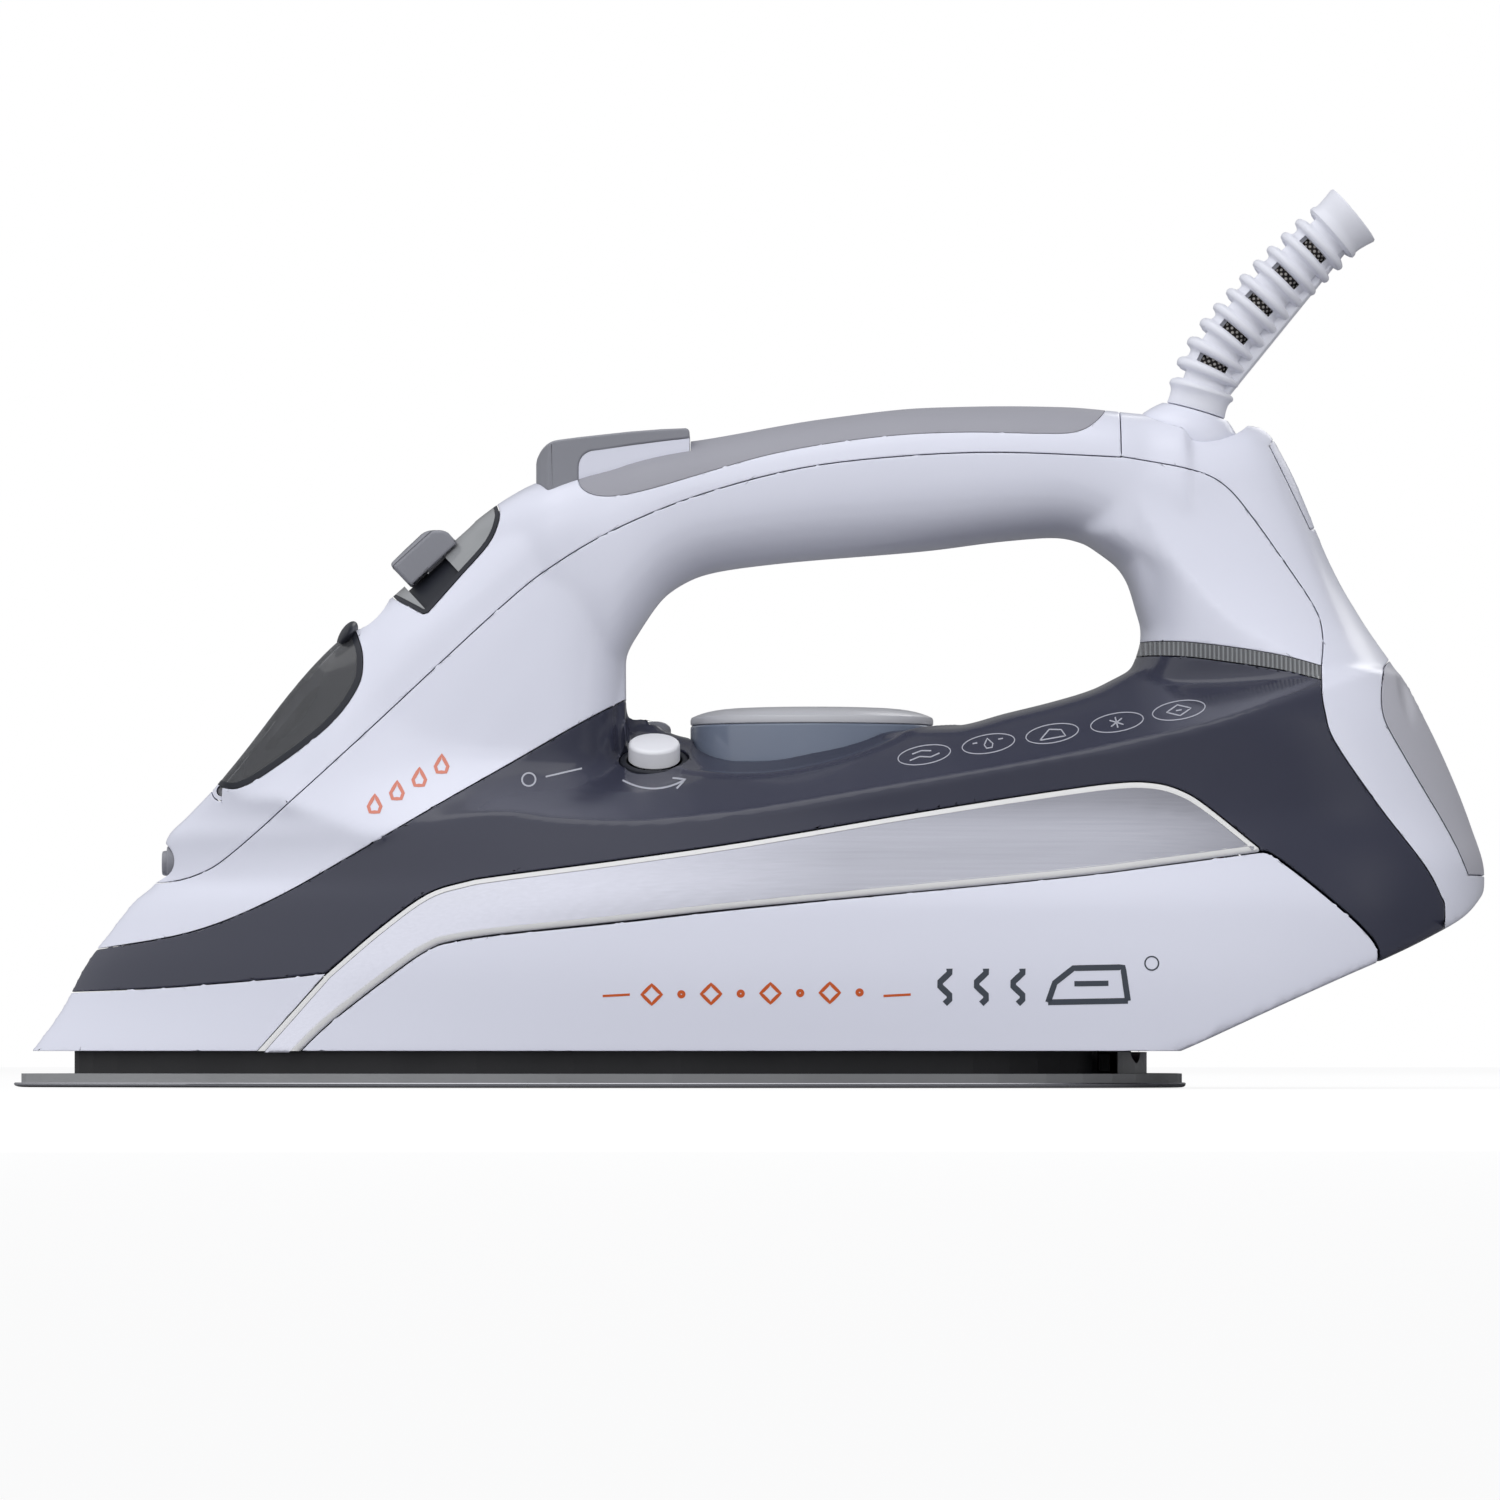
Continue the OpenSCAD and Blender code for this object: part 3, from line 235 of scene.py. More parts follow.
def ring_faces(rows, count, looped=False):
    faces = [(i * count + k, i * count + (k + 1) % count, (i + 1) % rows * count + (k + 1) % count,
              (i + 1) % rows * count + k)
             for i in range(rows if looped else rows - 1) for k in range(count)]
    if not looped:
        faces += [tuple(range(count - 1, -1, -1)), tuple(range((rows - 1) * count, rows * count))]
    return faces
def lofted(name, rings, looped=False):
    return mesh_object(name, [v for ring in rings for v in ring],
                       ring_faces(len(rings), len(rings[0]), looped))
def loft(name, stations, outline, upright=False):
    rings = []
    for at in stations:
        a, b = outline(at)
        if upright:
            ring = [(x, y, at) for x, y in zip(a, np.maximum(b, 0.03))]
        else:
            ring = [(at, y, z) for y, z in zip(np.maximum(a, 0.03), b)]
        ring += [(x, -y, z) for x, y, z in reversed(ring)]
        rings.append([(x * MM, y * MM, z * MM) for x, y, z in ring])
    return lofted(name, rings)
def rework(mesh, near=0, thin=0, outward=False):
    work = bmesh.new()
    work.from_mesh(mesh)
    if near:
        bmesh.ops.remove_doubles(work, verts=work.verts, dist=near * MM)
    if thin:
        bmesh.ops.dissolve_degenerate(work, edges=work.edges, dist=thin * MM)
    if outward:
        bmesh.ops.recalc_face_normals(work, faces=work.faces)
    work.to_mesh(mesh)
    work.free()
def mesh_object(name, verts, faces):
    mesh = bpy.data.meshes.new(name)
    mesh.from_pydata([tuple(v) for v in verts], [], faces)
    rework(mesh, outward=True)
    ob = bpy.data.objects.new(name, mesh)
    scene.collection.objects.link(ob)
    return ob
def ends(*parts):
    return np.unique(np.round(np.concatenate([np.arange(*p) for p in parts]), 3))
def modify(ob, kind, **values):
    pick(ob)
    change = ob.modifiers.new(kind.lower(), kind)
    for key, value in values.items():
        setattr(change, key, value)
    bpy.ops.object.modifier_apply(modifier=change.name)
    return ob
def drop(*obs):
    for ob in obs:
        bpy.data.objects.remove(ob, do_unlink=True)
def swell(ob, amount):
    return modify(ob, "DISPLACE", strength=amount * MM, mid_level=0)
def cut(ob, tool, way="DIFFERENCE", keep=False):
    modify(ob, "BOOLEAN", operation=way, solver="MANIFOLD", object=tool)
    if not keep:
        drop(tool)
    return ob
def copy_of(ob, name):
    new = ob.copy()
    new.data = ob.data.copy()
    new.name = new.data.name = name
    scene.collection.objects.link(new)
    return new

body = loft("body", ends((-156.5, -150, 0.5), (-150, -36, 0.9), (-36, -26, 0.35), (-26, 145, 1),
                         (145, 151, 0.6), (151, 153.9, 0.25)), lower_outline)
tail = loft("tail", ends((84, 130, 0.8), (130, 139.2, 0.3)), tail_outline, upright=True)
def whole_turn(steps):
    return np.linspace(0, 2 * pi, steps, endpoint=False)
grip_rings, around = [], whole_turn(72)
c, s = np.cos(around), np.sin(around)
for x in ends((-58, -10, 0.8), (-10, 66, 1.5), (66, 92, 0.8)):
    top, low = (ridge_line(x) if x < -47 else grip_top(x)), grip_under(x)
    grip_rings.append([(x * MM, y * MM, z * MM) for y, z in zip(
        grip_width(x) * np.sign(c) * np.abs(c) ** 0.8,
        (top + low) / 2 + (top - low) / 2 * np.sign(s) * np.abs(s) ** 0.8)])
for part in (tail, lofted("grip", grip_rings)):
    cut(body, part, "UNION")
modify(body, "REMESH", mode="VOXEL", voxel_size=0.9 * MM)
modify(body, "SMOOTH", factor=0.5, iterations=8)
for v in body.data.vertices:
    x, y, z = v.co.x / MM - 13, v.co.y / MM, v.co.z / MM
    r = hypot(x, y) + 1e-6
    if 58 < z < 84:
        lip = r - 33 + 3 * x / r
        dish = max(0, 1 - max(0, r - 25.8) / (7.2 - 3 * x / r))
        dimple = np.clip(1.1 - hypot(x + 33, y + 15) / 16, 0, 0.7) / 0.7
        v.co.z -= (max(dish * (2.2 * max(0, -x) + 0.6 * max(0, x)) / r, 0.8 * dimple)
                   - 0.3 * max(0, 1 - abs(lip) / 1.7)) * MM
skin_tree = BVHTree.FromPolygons([v.co for v in body.data.vertices],
                                 [p.vertices for p in body.data.polygons])
def on_skin(x, z, side=-1, lift=0):
    hit, normal, _, _ = skin_tree.ray_cast(Vector((x * MM, side * 0.2, z * MM)),
                                           Vector((0, -side, 0)))
    return hit + normal * lift * MM
shell_wall, skin_depth = 2.4, 1.4
hollow = copy_of(body, "hollow")
swell(hollow, -shell_wall)
modify(hollow, "REMESH", mode="VOXEL", voxel_size=1.4 * MM)
modify(hollow, "SMOOTH", factor=0.5, iterations=4)
for v in hollow.data.vertices:
    if v.co.z < 9 * MM and v.co.x < 91 * MM:
        v.co.z -= 14 * MM
def block(low, high, place=Matrix.Identity(4)):
    pick()
    bpy.ops.mesh.primitive_cube_add(size=1, calc_uvs=False)
    ob = bpy.context.object
    size = [(h - a) * MM for a, h in zip(low, high)]
    mid = [(h + a) / 2 * MM for a, h in zip(low, high)]
    ob.data.transform(place @ Matrix.Translation(mid) @ Matrix.Diagonal((*size, 1)))
    return ob
floor_cut = block((-200, -100, -20), (200, 100, 7.6))
cut(body, floor_cut, keep=True)
core = copy_of(body, "core")
swell(core, -skin_depth)

# --- Finishes of the mouldings ---
# Injection moulded plastics. One shared skin gives every moulding its fine
# spark-eroded grain, the slow change of shade and the traces of handling.
skin_group = bpy.data.node_groups.new("moulded_skin", "ShaderNodeTree")
for way, kind, names in (("INPUT", "Float", "Grain Depth Rough_low Rough_high"),
                         ("INPUT", "Color", "Tone_A Tone_B"), ("OUTPUT", "Color", "Color"),
                         ("OUTPUT", "Float", "Roughness"), ("OUTPUT", "Vector", "Normal")):
    for name in names.split():
        skin_group.interface.new_socket(name=name.replace("_", " "), in_out=way,
                                        socket_type="NodeSocket" + kind)
given, result = (skin_group.nodes.new("NodeGroup" + way) for way in ("Input", "Output"))
where = put(skin_group, "TexCoord")
cloud, smear = (put(skin_group, "TexNoise", Scale=scale, Detail=detail)
                for scale, detail in ((22, 4), (60, 2)))
grain = put(skin_group, "TexNoise", Detail=2)
tone = put(skin_group, "Mix", data_type="RGBA")
gloss = put(skin_group, "MapRange", From_Min=0.3, From_Max=0.7)
bump = put(skin_group, "Bump", Distance=0.05 * MM)
wire(skin_group, *[(where, "Object", noise, "Vector") for noise in (cloud, smear, grain)],
     (given, "Grain", grain, "Scale"), (cloud, "Fac", tone, "Factor"), (given, "Tone A", tone, 6),
     (given, "Tone B", tone, 7), (tone, 2, result, "Color"), (smear, "Fac", gloss, "Value"),
     (given, "Rough low", gloss, "To Min"), (given, "Rough high", gloss, "To Max"),
     (gloss, "Result", result, "Roughness"), (given, "Depth", bump, "Strength"),
     (grain, "Fac", bump, "Height"), (bump, "Normal", result, "Normal"))

def moulding(name, tone_a, tone_b, rough=(0.35, 0.45), grain=2500, depth=0.1, **plain):
    mat, tree, face = material_of(name, **plain)
    skin = put(tree, "Group", node_tree=skin_group, Tone_A=(*tone_a, 1), Tone_B=(*tone_b, 1),
               Rough_low=rough[0], Rough_high=rough[1], Grain=grain, Depth=depth)
    wire(tree, (skin, "Color", face, "Base Color"), (skin, "Roughness", face, "Roughness"),
         (skin, "Normal", face, "Normal"))
    return mat
white_plastic = moulding("white_plastic", (0.775, 0.79, 0.9), (0.765, 0.78, 0.89),
                         (0.275, 0.29), 2200, 0.04, Coat_Weight=0.2, Coat_Roughness=0.15)
smoked_plastic = moulding("smoked_plastic", (0.051, 0.054, 0.085), (0.046, 0.049, 0.078),
                          (0.12, 0.2), 1500, 0.03, Transmission_Weight=0.18, IOR=1.5)
grip_rubber = moulding("grip_rubber", (0.355, 0.355, 0.4), (0.34, 0.34, 0.385),
                       (0.5, 0.62), 1400, 0.35)

# --- Seams ---
# Where one moulding ends and the next begins, seen from the side. Every shell
# is the body's form between its seams, hollow inside, with softened edges.
def smooth(points, steps=5):
    p = [Vector(q) for q in points]
    line = []
    for i in range(len(p) - 1):
        a, b, c, d = p[max(i - 1, 0)], p[i], p[i + 1], p[min(i + 2, len(p) - 1)]
        for k in range(steps):
            t = k / steps
            line.append(0.5 * (2 * b + (c - a) * t + (2 * a - 5 * b + 4 * c - d) * t * t
                               + (3 * b - a - 3 * c + d) * t ** 3))
    return [tuple(q) for q in line + [p[-1]]]
house_seam = smooth([
    (-141, 28.6), (-136, 29.1), (-117, 32.3), (-101, 38.3), (-82, 48.6), (-62, 60.4), (-37, 75),
    (-25.9, 81.2)])
cover_seam = smooth([
    (-130, 44.4), (-124.5, 42.8), (-115.5, 44.5), (-107, 49.8), (-88, 66.6), (-52.5, 99.8),
    (-40, 109.6), (-27, 117), (-10, 123.8), (10.5, 129.2), (31.5, 131.7), (52.5, 132.5),
    (77.3, 131.5)])
rear_seam = smooth([
    (77.5, 131.6), (84.5, 130.5), (92, 129), (97, 127.2), (101, 124), (105, 119), (110, 112),
    (117.7, 100.3), (119.3, 94), (118.7, 87.6)])
heel_seam = smooth([
    (118.4, 81.8), (119, 77.7), (121, 71.5), (130, 58.5), (139.5, 46.3), (143, 40), (144, 36),
    (142.9, 20)])
skirt_seam = smooth([
    (-160, 19.2), (-127, 20.5), (-112, 21.5), (-97, 22.7), (-87.7, 23.7)])
trim_start = [(-103.5, 6), (-87.7, 23.7)]
trim_top = smooth([
    (-87.7, 23.7), (-77, 32.8), (-67, 40), (-59, 42.6), (-52, 43.8), (-27, 47), (0, 50.9),
    (34, 56.7), (62, 61.1), (76, 62.9), (83, 62.9), (88.5, 61.5), (94, 58.3), (105, 49.4)])
trim_low = smooth([
    (-95, 6), (-87, 13.7), (-72, 25.2), (-66, 29), (-62, 30.3), (-52, 31.8), (-27, 34.3),
    (0, 37.3), (63, 43.4), (83.5, 45.9), (105, 48.8)])
panel_end = smooth([
    (105, 48.8), (107.4, 48.3), (113.5, 43.9), (120.3, 38.4), (125.8, 33.6), (129.5, 29),
    (129.6, 24), (128.6, 10)])
lens_top = smooth([
    (81.5, 93.2), (90.3, 92.8), (100.6, 91.5), (110.8, 89.7), (118.7, 87.6)])
lens_low = smooth([
    (78, 90.4), (90.3, 89.7), (100.6, 88.3), (110.8, 86.6), (118.5, 84.6)])
grip_edge = smooth([
    (-36, 127), (-35, 125), (-32, 123.6), (-27, 123.6), (-19.7, 125.2), (-10, 128.1), (4, 132.1),
    (18, 134.7), (32, 136.3), (46, 136.8), (60, 136.5), (66.6, 136.6), (70.3, 137.7), (73, 139.9),
    (74.6, 142)])
flap_edge = smooth([
    (-110.9, 62.8), (-107, 62.4), (-100.8, 65.5), (-88.2, 75), (-81.9, 83.4), (-80.9, 89.7),
    (-82.3, 94.9), (-84, 97.7)])
slider_edge = smooth([(-74.4, 102.3), (-68.3, 98.9)]) + smooth(
    [(-67.3, 99.2), (-60.9, 106.5), (-54.6, 113.8), (-52.5, 119.1), (-53, 122)])
pad_edge = smooth([
    (134.7, 90), (132.3, 87.2), (131.3, 82.5), (131.3, 78.4), (132.3, 75), (135.4, 69.5),
    (139.5, 62.6), (143.6, 55.9), (147, 49.7), (149.4, 44.2)])
out = 170
gap_back = [(72, 92), (10, 84), (-25.9, 84)]
zones = {
    "nose_skirt": [(-out, 0)] + skirt_seam + [(-103.5, 6), (-103.5, 0)],
    "side_panel": [(-95, 0)] + trim_low + panel_end + [(128.6, 0)],
    "trim": trim_start + trim_top[1:] + trim_low[::-1],
    "water_tank": [(-out, 28.4), (-out, 19.2)] + skirt_seam[:-1] + trim_top + panel_end
        + [(142.9, 20)] + heel_seam[::-1] + lens_low[::-1] + gap_back + house_seam[::-1],
    "main_housing": cover_seam + rear_seam + lens_low[::-1] + gap_back + house_seam[::-1]
        + [(-out, 28.4), (-out, 44.4)],
    "top_cover": cover_seam + [(77.5, 131.5), (77.5, out), (-out, out), (-out, 44.4)],
    "rear_cover": [(77.5, out)] + rear_seam + heel_seam + [(142.9, 0), (out, 0), (out, out)],
    "lens_strip": lens_top + lens_low[::-1],
    "grip_insert": grip_edge + [(74.6, out), (-36, out)],
    "filler_flap": flap_edge + [(-88, 110), (-120, 70)],
    "slider_panel": slider_edge + [(-60, 130), (-82, 110)],
    "heel_pad": pad_edge + [(out, 44.2), (out, 90)],
    "rear_plate": [(109, 134.5), (112, 139), (125, 119), (117.5, 117)]}

def offset(points, grow):
    p = []
    for q in points:
        if not p or dist(p[-1], q) > 0.02:
            p.append(q)
    if dist(p[0], p[-1]) < 0.02:
        p.pop()
    if sum(a[0] * b[1] - b[0] * a[1] for a, b in zip(p, p[1:] + p[:1])) < 0:
        p.reverse()
    line, count = [], len(p)
    for i in range(count):
        a, b, c = Vector(p[i - 1]), Vector(p[i]), Vector(p[(i + 1) % count])
        u, v = (b - a).normalized(), (c - b).normalized()
        m = Vector((u.y + v.y, -u.x - v.x))
        m = m.normalized() if m.length > 1e-6 else Vector((u.y, -u.x))
        line.append(b + m * grow / max(m.dot(Vector((u.y, -u.x))), 0.4))
    return line
def between(name, low, high):
    count = len(low)
    faces = [tuple(range(count)), tuple(range(2 * count - 1, count - 1, -1))]
    faces += [(i, i + count, (i + 1) % count + count, (i + 1) % count) for i in range(count)]
    return mesh_object(name, low + high, faces)
def prism(points, grow, half=0.2, y=0):
    line = offset(points, grow)
    return between("seam_tool", *[[(q.x * MM, y + s * half, q.y * MM) for q in line]
                                  for s in (-1, 1)])
def within(name, zone, grow=-0.1, form=None):
    return cut(copy_of(form or body, name), prism(zones[zone], grow), "INTERSECT")
def recess(ob, zone, grow, half=0.2):
    bed = prism(zones[zone], grow, half)
    cut(bed, core, keep=True)
    cut(ob, bed)
def half_of(ob, name, side):
    low, high = sorted((side * 0.2, side * 200.2))
    return cut(copy_of(ob, name), block((-200, low, -10), (200, high, 200)), "INTERSECT")
def soften(ob, width, angle=35, segments=2):
    rework(ob.data, near=0.12, thin=0.05)
    modify(ob, "BEVEL", width=width * MM, segments=segments, limit_method="ANGLE",
           angle_limit=radians(angle), use_clamp_overlap=False)
    return ob
def shell(name, zone, wall=None, gap=0.1):
    ob = soften(within(name, zone, -gap), 0.2)
    return cut(ob, wall or hollow, keep=True)
def dress(ob, material):
    ob.data.materials.clear()
    ob.data.materials.append(material)
def finish(ob, material, slot, *nodes, on="iron_body", angle=35):
    ob.data.validate()
    if material:
        dress(ob, material)
    pick(ob)
    bpy.ops.object.shade_smooth_by_angle(angle=radians(angle))
    modify(ob, "WEIGHTED_NORMAL", keep_sharp=True)
    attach(ob, on)
    if nodes:
        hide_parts(*nodes)

# --- Skirt ---
# Glossy white mouldings round the foot of the body: the nose skirt and a large
# panel on each side. They are clipped to the heat shield from below.
def cylinder(radius, low, high, place=(0, 0), sides=96):
    pick()
    bpy.ops.mesh.primitive_cylinder_add(vertices=sides, radius=radius * MM,
                                        depth=(high - low) * MM, calc_uvs=False)
    ob = bpy.context.object
    ob.data.transform(placed(*place, (low + high) / 2))
    return ob
def placed(x, y, z, turn=0, axis="Y"):
    return Matrix.Translation((x * MM, y * MM, z * MM)) @ Matrix.Rotation(radians(turn), 4, axis)
def bore(radius, low, high, place, sides=96):
    tool = cylinder(radius, low, high, sides=sides)
    tool.data.transform(place)
    return tool
finish(shell("nose_skirt_shell", "nose_skirt"), white_plastic, "white_plastic", "nose_skirt")
both_panels = shell("side_panels", "side_panel", gap=0.45)
for side, name in ((-1, "side_panel_left"), (1, "side_panel_right")):
    finish(half_of(both_panels, name + "_shell", side), white_plastic, "white_plastic", name)
drop(both_panels)

# --- Trims ---
# Bright strips of plated brushed metal, pressed into the skirt's upper edge,
# with a polished bevel all round that catches the light as a thin line.
def tinted(tree, face, pattern, leaves, tones, strength, depth):
    shade, bump = put(tree, "ValToRGB"), put(tree, "Bump", Strength=strength, Distance=depth * MM)
    stops = shade.color_ramp.elements
    stops[0].position, stops[1].position = tones[0][0], tones[-1][0]
    for spot, _ in tones[1:-1]:
        stops.new(spot)
    for stop, (_, tone) in zip(stops, tones):
        stop.color = (*tone, 1)
    wire(tree, (pattern, leaves, shade, "Fac"), (shade, "Color", face, "Base Color"),
         (pattern, leaves, bump, "Height"), (bump, "Normal", face, "Normal"))
bright_metal, tree, face = material_of("bright_metal", Metallic=1)
where, rough = put(tree, "TexCoord"), put(tree, "MapRange", To_Min=0.16, To_Max=0.27)
along = put(tree, "Mapping", Scale=(30, 2600, 2600), Rotation=(0, radians(6), 0))
streaks = put(tree, "TexNoise", Scale=1, Detail=5)
tinted(tree, face, streaks, "Fac", ((0, (0.7, 0.705, 0.79)), (1, (0.81, 0.815, 0.9))), 0.15, 0.01)
wire(tree, (where, "Object", along, "Vector"), (along, "Vector", streaks, "Vector"),
     (streaks, "Fac", rough, "Value"), (rough, "Result", face, "Roughness"))
polished = moulding("polished_rim", (0.88, 0.885, 0.94), (0.84, 0.845, 0.9), (0.07, 0.13),
                    900, 0.03, Metallic=1)
proud = copy_of(body, "proud")
swell(proud, 0.45)
cut(proud, prism(zones["trim"], -1.25), "INTERSECT")
cut(proud, core, keep=True)
rim_form = [
    (1.3, -1), (0.15, -1), (0.12, -0.3), (0.18, -0.05), (0.35, 0.14), (0.6, 0.29), (0.9, 0.4),
    (1.3, 0.46)]
def join(*obs):
    pick(*obs)
    bpy.ops.object.join()
    return obs[0]
for side, name in ((-1, "trim_left"), (1, "trim_right")):
    strip = half_of(proud, name + "_strip", side)
    dress(strip, bright_metal)
    rings = [[on_skin(q.x, max(q.y, 6.5), side, lift) for q in offset(zones["trim"], -inset)]
             for inset, lift in rim_form]
    rim = cut(lofted("rim", rings, True), floor_cut, keep=True)
    rim.data.materials.append(polished)
    finish(join(strip, rim), None, "chrome_trim", name, angle=30)
drop(proud, floor_cut)

# --- Water tank ---
# A smoked, slightly clear moulding that carries the deck, with a round recess
# for the dial and two small wells for the knobs, each with its own wall.
tank = within("water_tank_shell", "water_tank")
tank_hollow = copy_of(hollow, "tank_hollow")
dial_at, deck_floor, well = (13, 0), 67.4, 25.8
cut(tank, cylinder(well, deck_floor, 120, dial_at, 160))
cut(tank_hollow, cylinder(well + shell_wall, deck_floor - shell_wall, 120, dial_at, 120))
def knob_place(side, slid=True):
    y, z = (-15, 68.1) if side < 0 and slid else (side * 13.5, 69.6)
    return placed(-20, y, z, -side * 24, "X")
for side in (-1, 1):
    for radius, low, base in ((7.3, -4.5, tank), (9, -6.9, tank_hollow)):
        cut(base, bore(radius, low, 4, knob_place(side)))
cut(tank, tank_hollow)
soften(tank, 0.3)
finish(tank, smoked_plastic, "smoked_plastic", "water_tank")

# --- Handle housing ---
# White mouldings of the upper body: the housing with the underside of the
# handle, the cover over neck and grip, and the cover down the heel.
housing = within("main_housing_shell", "main_housing")
recess(housing, "lens_strip", 0.05)
soften(housing, 0.2)
cut(housing, hollow, keep=True)
finish(housing, white_plastic, "white_plastic", "main_housing")
cover = within("top_cover_shell", "top_cover")
cut(cover, prism(zones["filler_flap"], 0))
def pebble(name, middle, turn, size, segments):
    pick()
    bpy.ops.mesh.primitive_uv_sphere_add(segments=segments, ring_count=segments // 2, radius=1,
                                         calc_uvs=False)
    ob = bpy.context.object
    ob.name = name
    ob.data.transform(placed(*middle, turn) @ Matrix.Diagonal((*(Vector(size) * MM), 1)))
    return ob
cut(cover, pebble("scoop", (-81.2, 0, 100.9), -48, (6.5, 11, 4.4), 48))
flap_hinge = placed(-110.5, 0, 62, 90, "X")
cut(cover, bore(2.25, -11.8, 11.8, flap_hinge))
def column(points, grow, low, high):
    line = offset(points, grow)
    return between("column", *[[(q.x * MM, q.y * MM, z * MM) for q in line] for z in (low, high)])
key_plan = [
    (-44.95, 0), (-44.8, 3), (-44.3, 6), (-43.4, 9), (-42.5, 11.2), (-42, 11.8), (-41.2, 12),
    (-12.6, 12), (-12.6, 0)]
key_room = column(key_plan[1:-1] + [(x, -y) for x, y in key_plan[-2:0:-1]], 0.16, 112, 150)
cut(cover, key_room, keep=True)
recess(cover, "grip_insert", 0.02)
recess(cover, "slider_panel", 0.1)
guard = placed(93.5, 0, 141.5, 16)
cut(cover, bore(11.3, -24, 16, guard))
nozzle = placed(-122.7, 0, 47, 90)
cut(cover, bore(4.1, -15, 15, nozzle))
cut(cover, hollow, keep=True)
soften(cover, 0.2)
finish(cover, white_plastic, "white_plastic", "top_cover")
rear = within("rear_cover_shell", "rear_cover")
recess(rear, "heel_pad", 0.1)
recess(rear, "rear_plate", 0.1, 8.8 * MM)
cut(rear, bore(11.3, -24, 16, guard))
soften(rear, 0.2)
cut(rear, hollow, keep=True)
finish(rear, white_plastic, "white_plastic", "rear_cover")
plate = copy_of(body, "rear_plate_skin")
soften(cut(plate, prism(zones["rear_plate"], -0.05, 8.65 * MM), "INTERSECT"), 0.3)
cut(plate, core, keep=True)
finish(plate, white_plastic, "white_plastic", "rear_plate")

# --- Grips ---
# Soft grey rubber moulded over the top of the handle and the heel, where the
# hand and the standing iron rest. Fine leather-like grain, no gloss.
grip_skin = within("grip_insert_skin", "grip_insert", -0.04)
cut(grip_skin, key_room, keep=True)
soften(grip_skin, 0.15)
cut(grip_skin, core, keep=True)
finish(grip_skin, grip_rubber, "grey_rubber", "grip_insert")
pad_skin = shell("heel_pad_skin", "heel_pad", wall=core)
# The heel pad is the grip's grey rubber painted lighter: painted light for the heel, which faces
# down and back and gets little lamp light.
pad_rubber_painted_lighter = moulding("pad_rubber_painted_lighter", (0.48, 0.48, 0.535), (0.465, 0.465, 0.52), (0.5, 0.62),
                      1400, 0.3)
finish(pad_skin, pad_rubber_painted_lighter, "grey_rubber", "heel_pad")
drop(key_room)

# --- Lens strip ---
# A clear strip between tank and tail that spreads the lamp's light. Its face
# is moulded with fine upright ribs, about one to the millimetre.
lens_clear, tree, face = material_of("lens_clear", Roughness=0.12, Transmission_Weight=0.25)
ribs = put(tree, "TexWave", bands_direction="X", Scale=340, Distortion=0.15, Detail=1)
wire(tree, (put(tree, "TexCoord"), "Object", ribs, "Vector"))
tinted(tree, face, ribs, "Fac", ((0.25, (0.15, 0.155, 0.165)), (1, (0.37, 0.385, 0.4))), 0.8, 0.25)
lens_skin = cut(within("lens_strip_skin", "lens_strip"), core, keep=True)
finish(lens_skin, lens_clear, "clear_lens", "lens_strip")

# --- Filler flap ---
# A smoked clear flap over the filler, hinged at its nose end, with a thumb tab
# at its upper end and a dark seal that shows through it.
smoked_clear = moulding("smoked_clear", (0.2, 0.205, 0.22), (0.17, 0.175, 0.19), (0.05, 0.1),
                        900, 0.02, Transmission_Weight=0.75, IOR=1.45)
dark_edge = moulding("dark_edge", (0.022, 0.024, 0.032), (0.018, 0.02, 0.028), (0.38, 0.46),
                     1500, 0.03, Specular_IOR_Level=0.3)
flap = within("filler_flap_shell", "filler_flap", -0.2)
rim = copy_of(flap, "filler_flap_rim")
soften(flap, 0.35)
cut(flap, core, keep=True)
finish(flap, smoked_clear, "smoked_plastic", "filler_flap", on="flap")
cut(rim, prism(zones["filler_flap"], -1.3))
cut(rim, core, keep=True)
swell(rim, 0.06)
finish(rim, dark_edge, "smoked_plastic", on="flap")
barrel = bore(2, -11.6, 11.6, flap_hinge)
barrel.name = barrel.data.name = "filler_flap_barrel"
cut(barrel, body, "INTERSECT", keep=True)
cut(barrel, prism(zones["filler_flap"], -0.2))
cut(barrel, bore(1.15, -13, 13, flap_hinge))
finish(barrel, white_plastic, "white_plastic", on="flap")
tab = pebble("filler_flap_tab", (-84.6, 0, 94.6), -62, (3.6, 8.5, 1.7), 40)
finish(tab, dark_edge, "smoked_plastic", on="flap")
pick()
bpy.ops.mesh.primitive_torus_add(major_radius=8.6 * MM, minor_radius=0.9 * MM,
                                 major_segments=72, minor_segments=16, generate_uvs=False)
seal = bpy.context.object
seal.name = "filler_seal"
seal.data.transform(placed(-96, 0, 76.5, -50))
finish(seal, dark_edge, "seal_rubber")

# --- Slider panel ---
# A smoked window with a dark frame let into the ridge, with the slot that the
# steam slider runs in.
window_grey = moulding("window_grey", (0.3, 0.31, 0.32), (0.26, 0.27, 0.28), (0.06, 0.12),
                       1200, 0.02, Coat_Weight=0.5, Coat_Roughness=0.05)
ridge = placed(-66, 0, 110.1, -42.1)
frame_piece = within("slider_panel_frame", "slider_panel", -0.12)
pane = within("slider_panel_pane", "slider_panel", -1, frame_piece)
cut(frame_piece, prism(zones["slider_panel"], -0.95))
for piece in (pane, frame_piece):
    cut(piece, core, keep=True)
cut(pane, block((-8.2, -30, -20), (2.2, 30, 8), ridge))
cut(pane, block((-2.8, -2.3, -9), (11.8, 2.3, 6), ridge))
finish(pane, window_grey, "smoked_plastic", "slider_panel")
finish(frame_piece, dark_edge, "smoked_plastic")
bed = within("slider_bed", "slider_panel", -0.5, core)
cut(bed, block((-8.4, -30, -20), (2.4, 30, 8), ridge), "INTERSECT")
cut(bed, block((-2.8, -2.3, -20), (11.8, 2.3, 6), ridge))
cut(bed, hollow, keep=True)
swell(bed, 0.12)
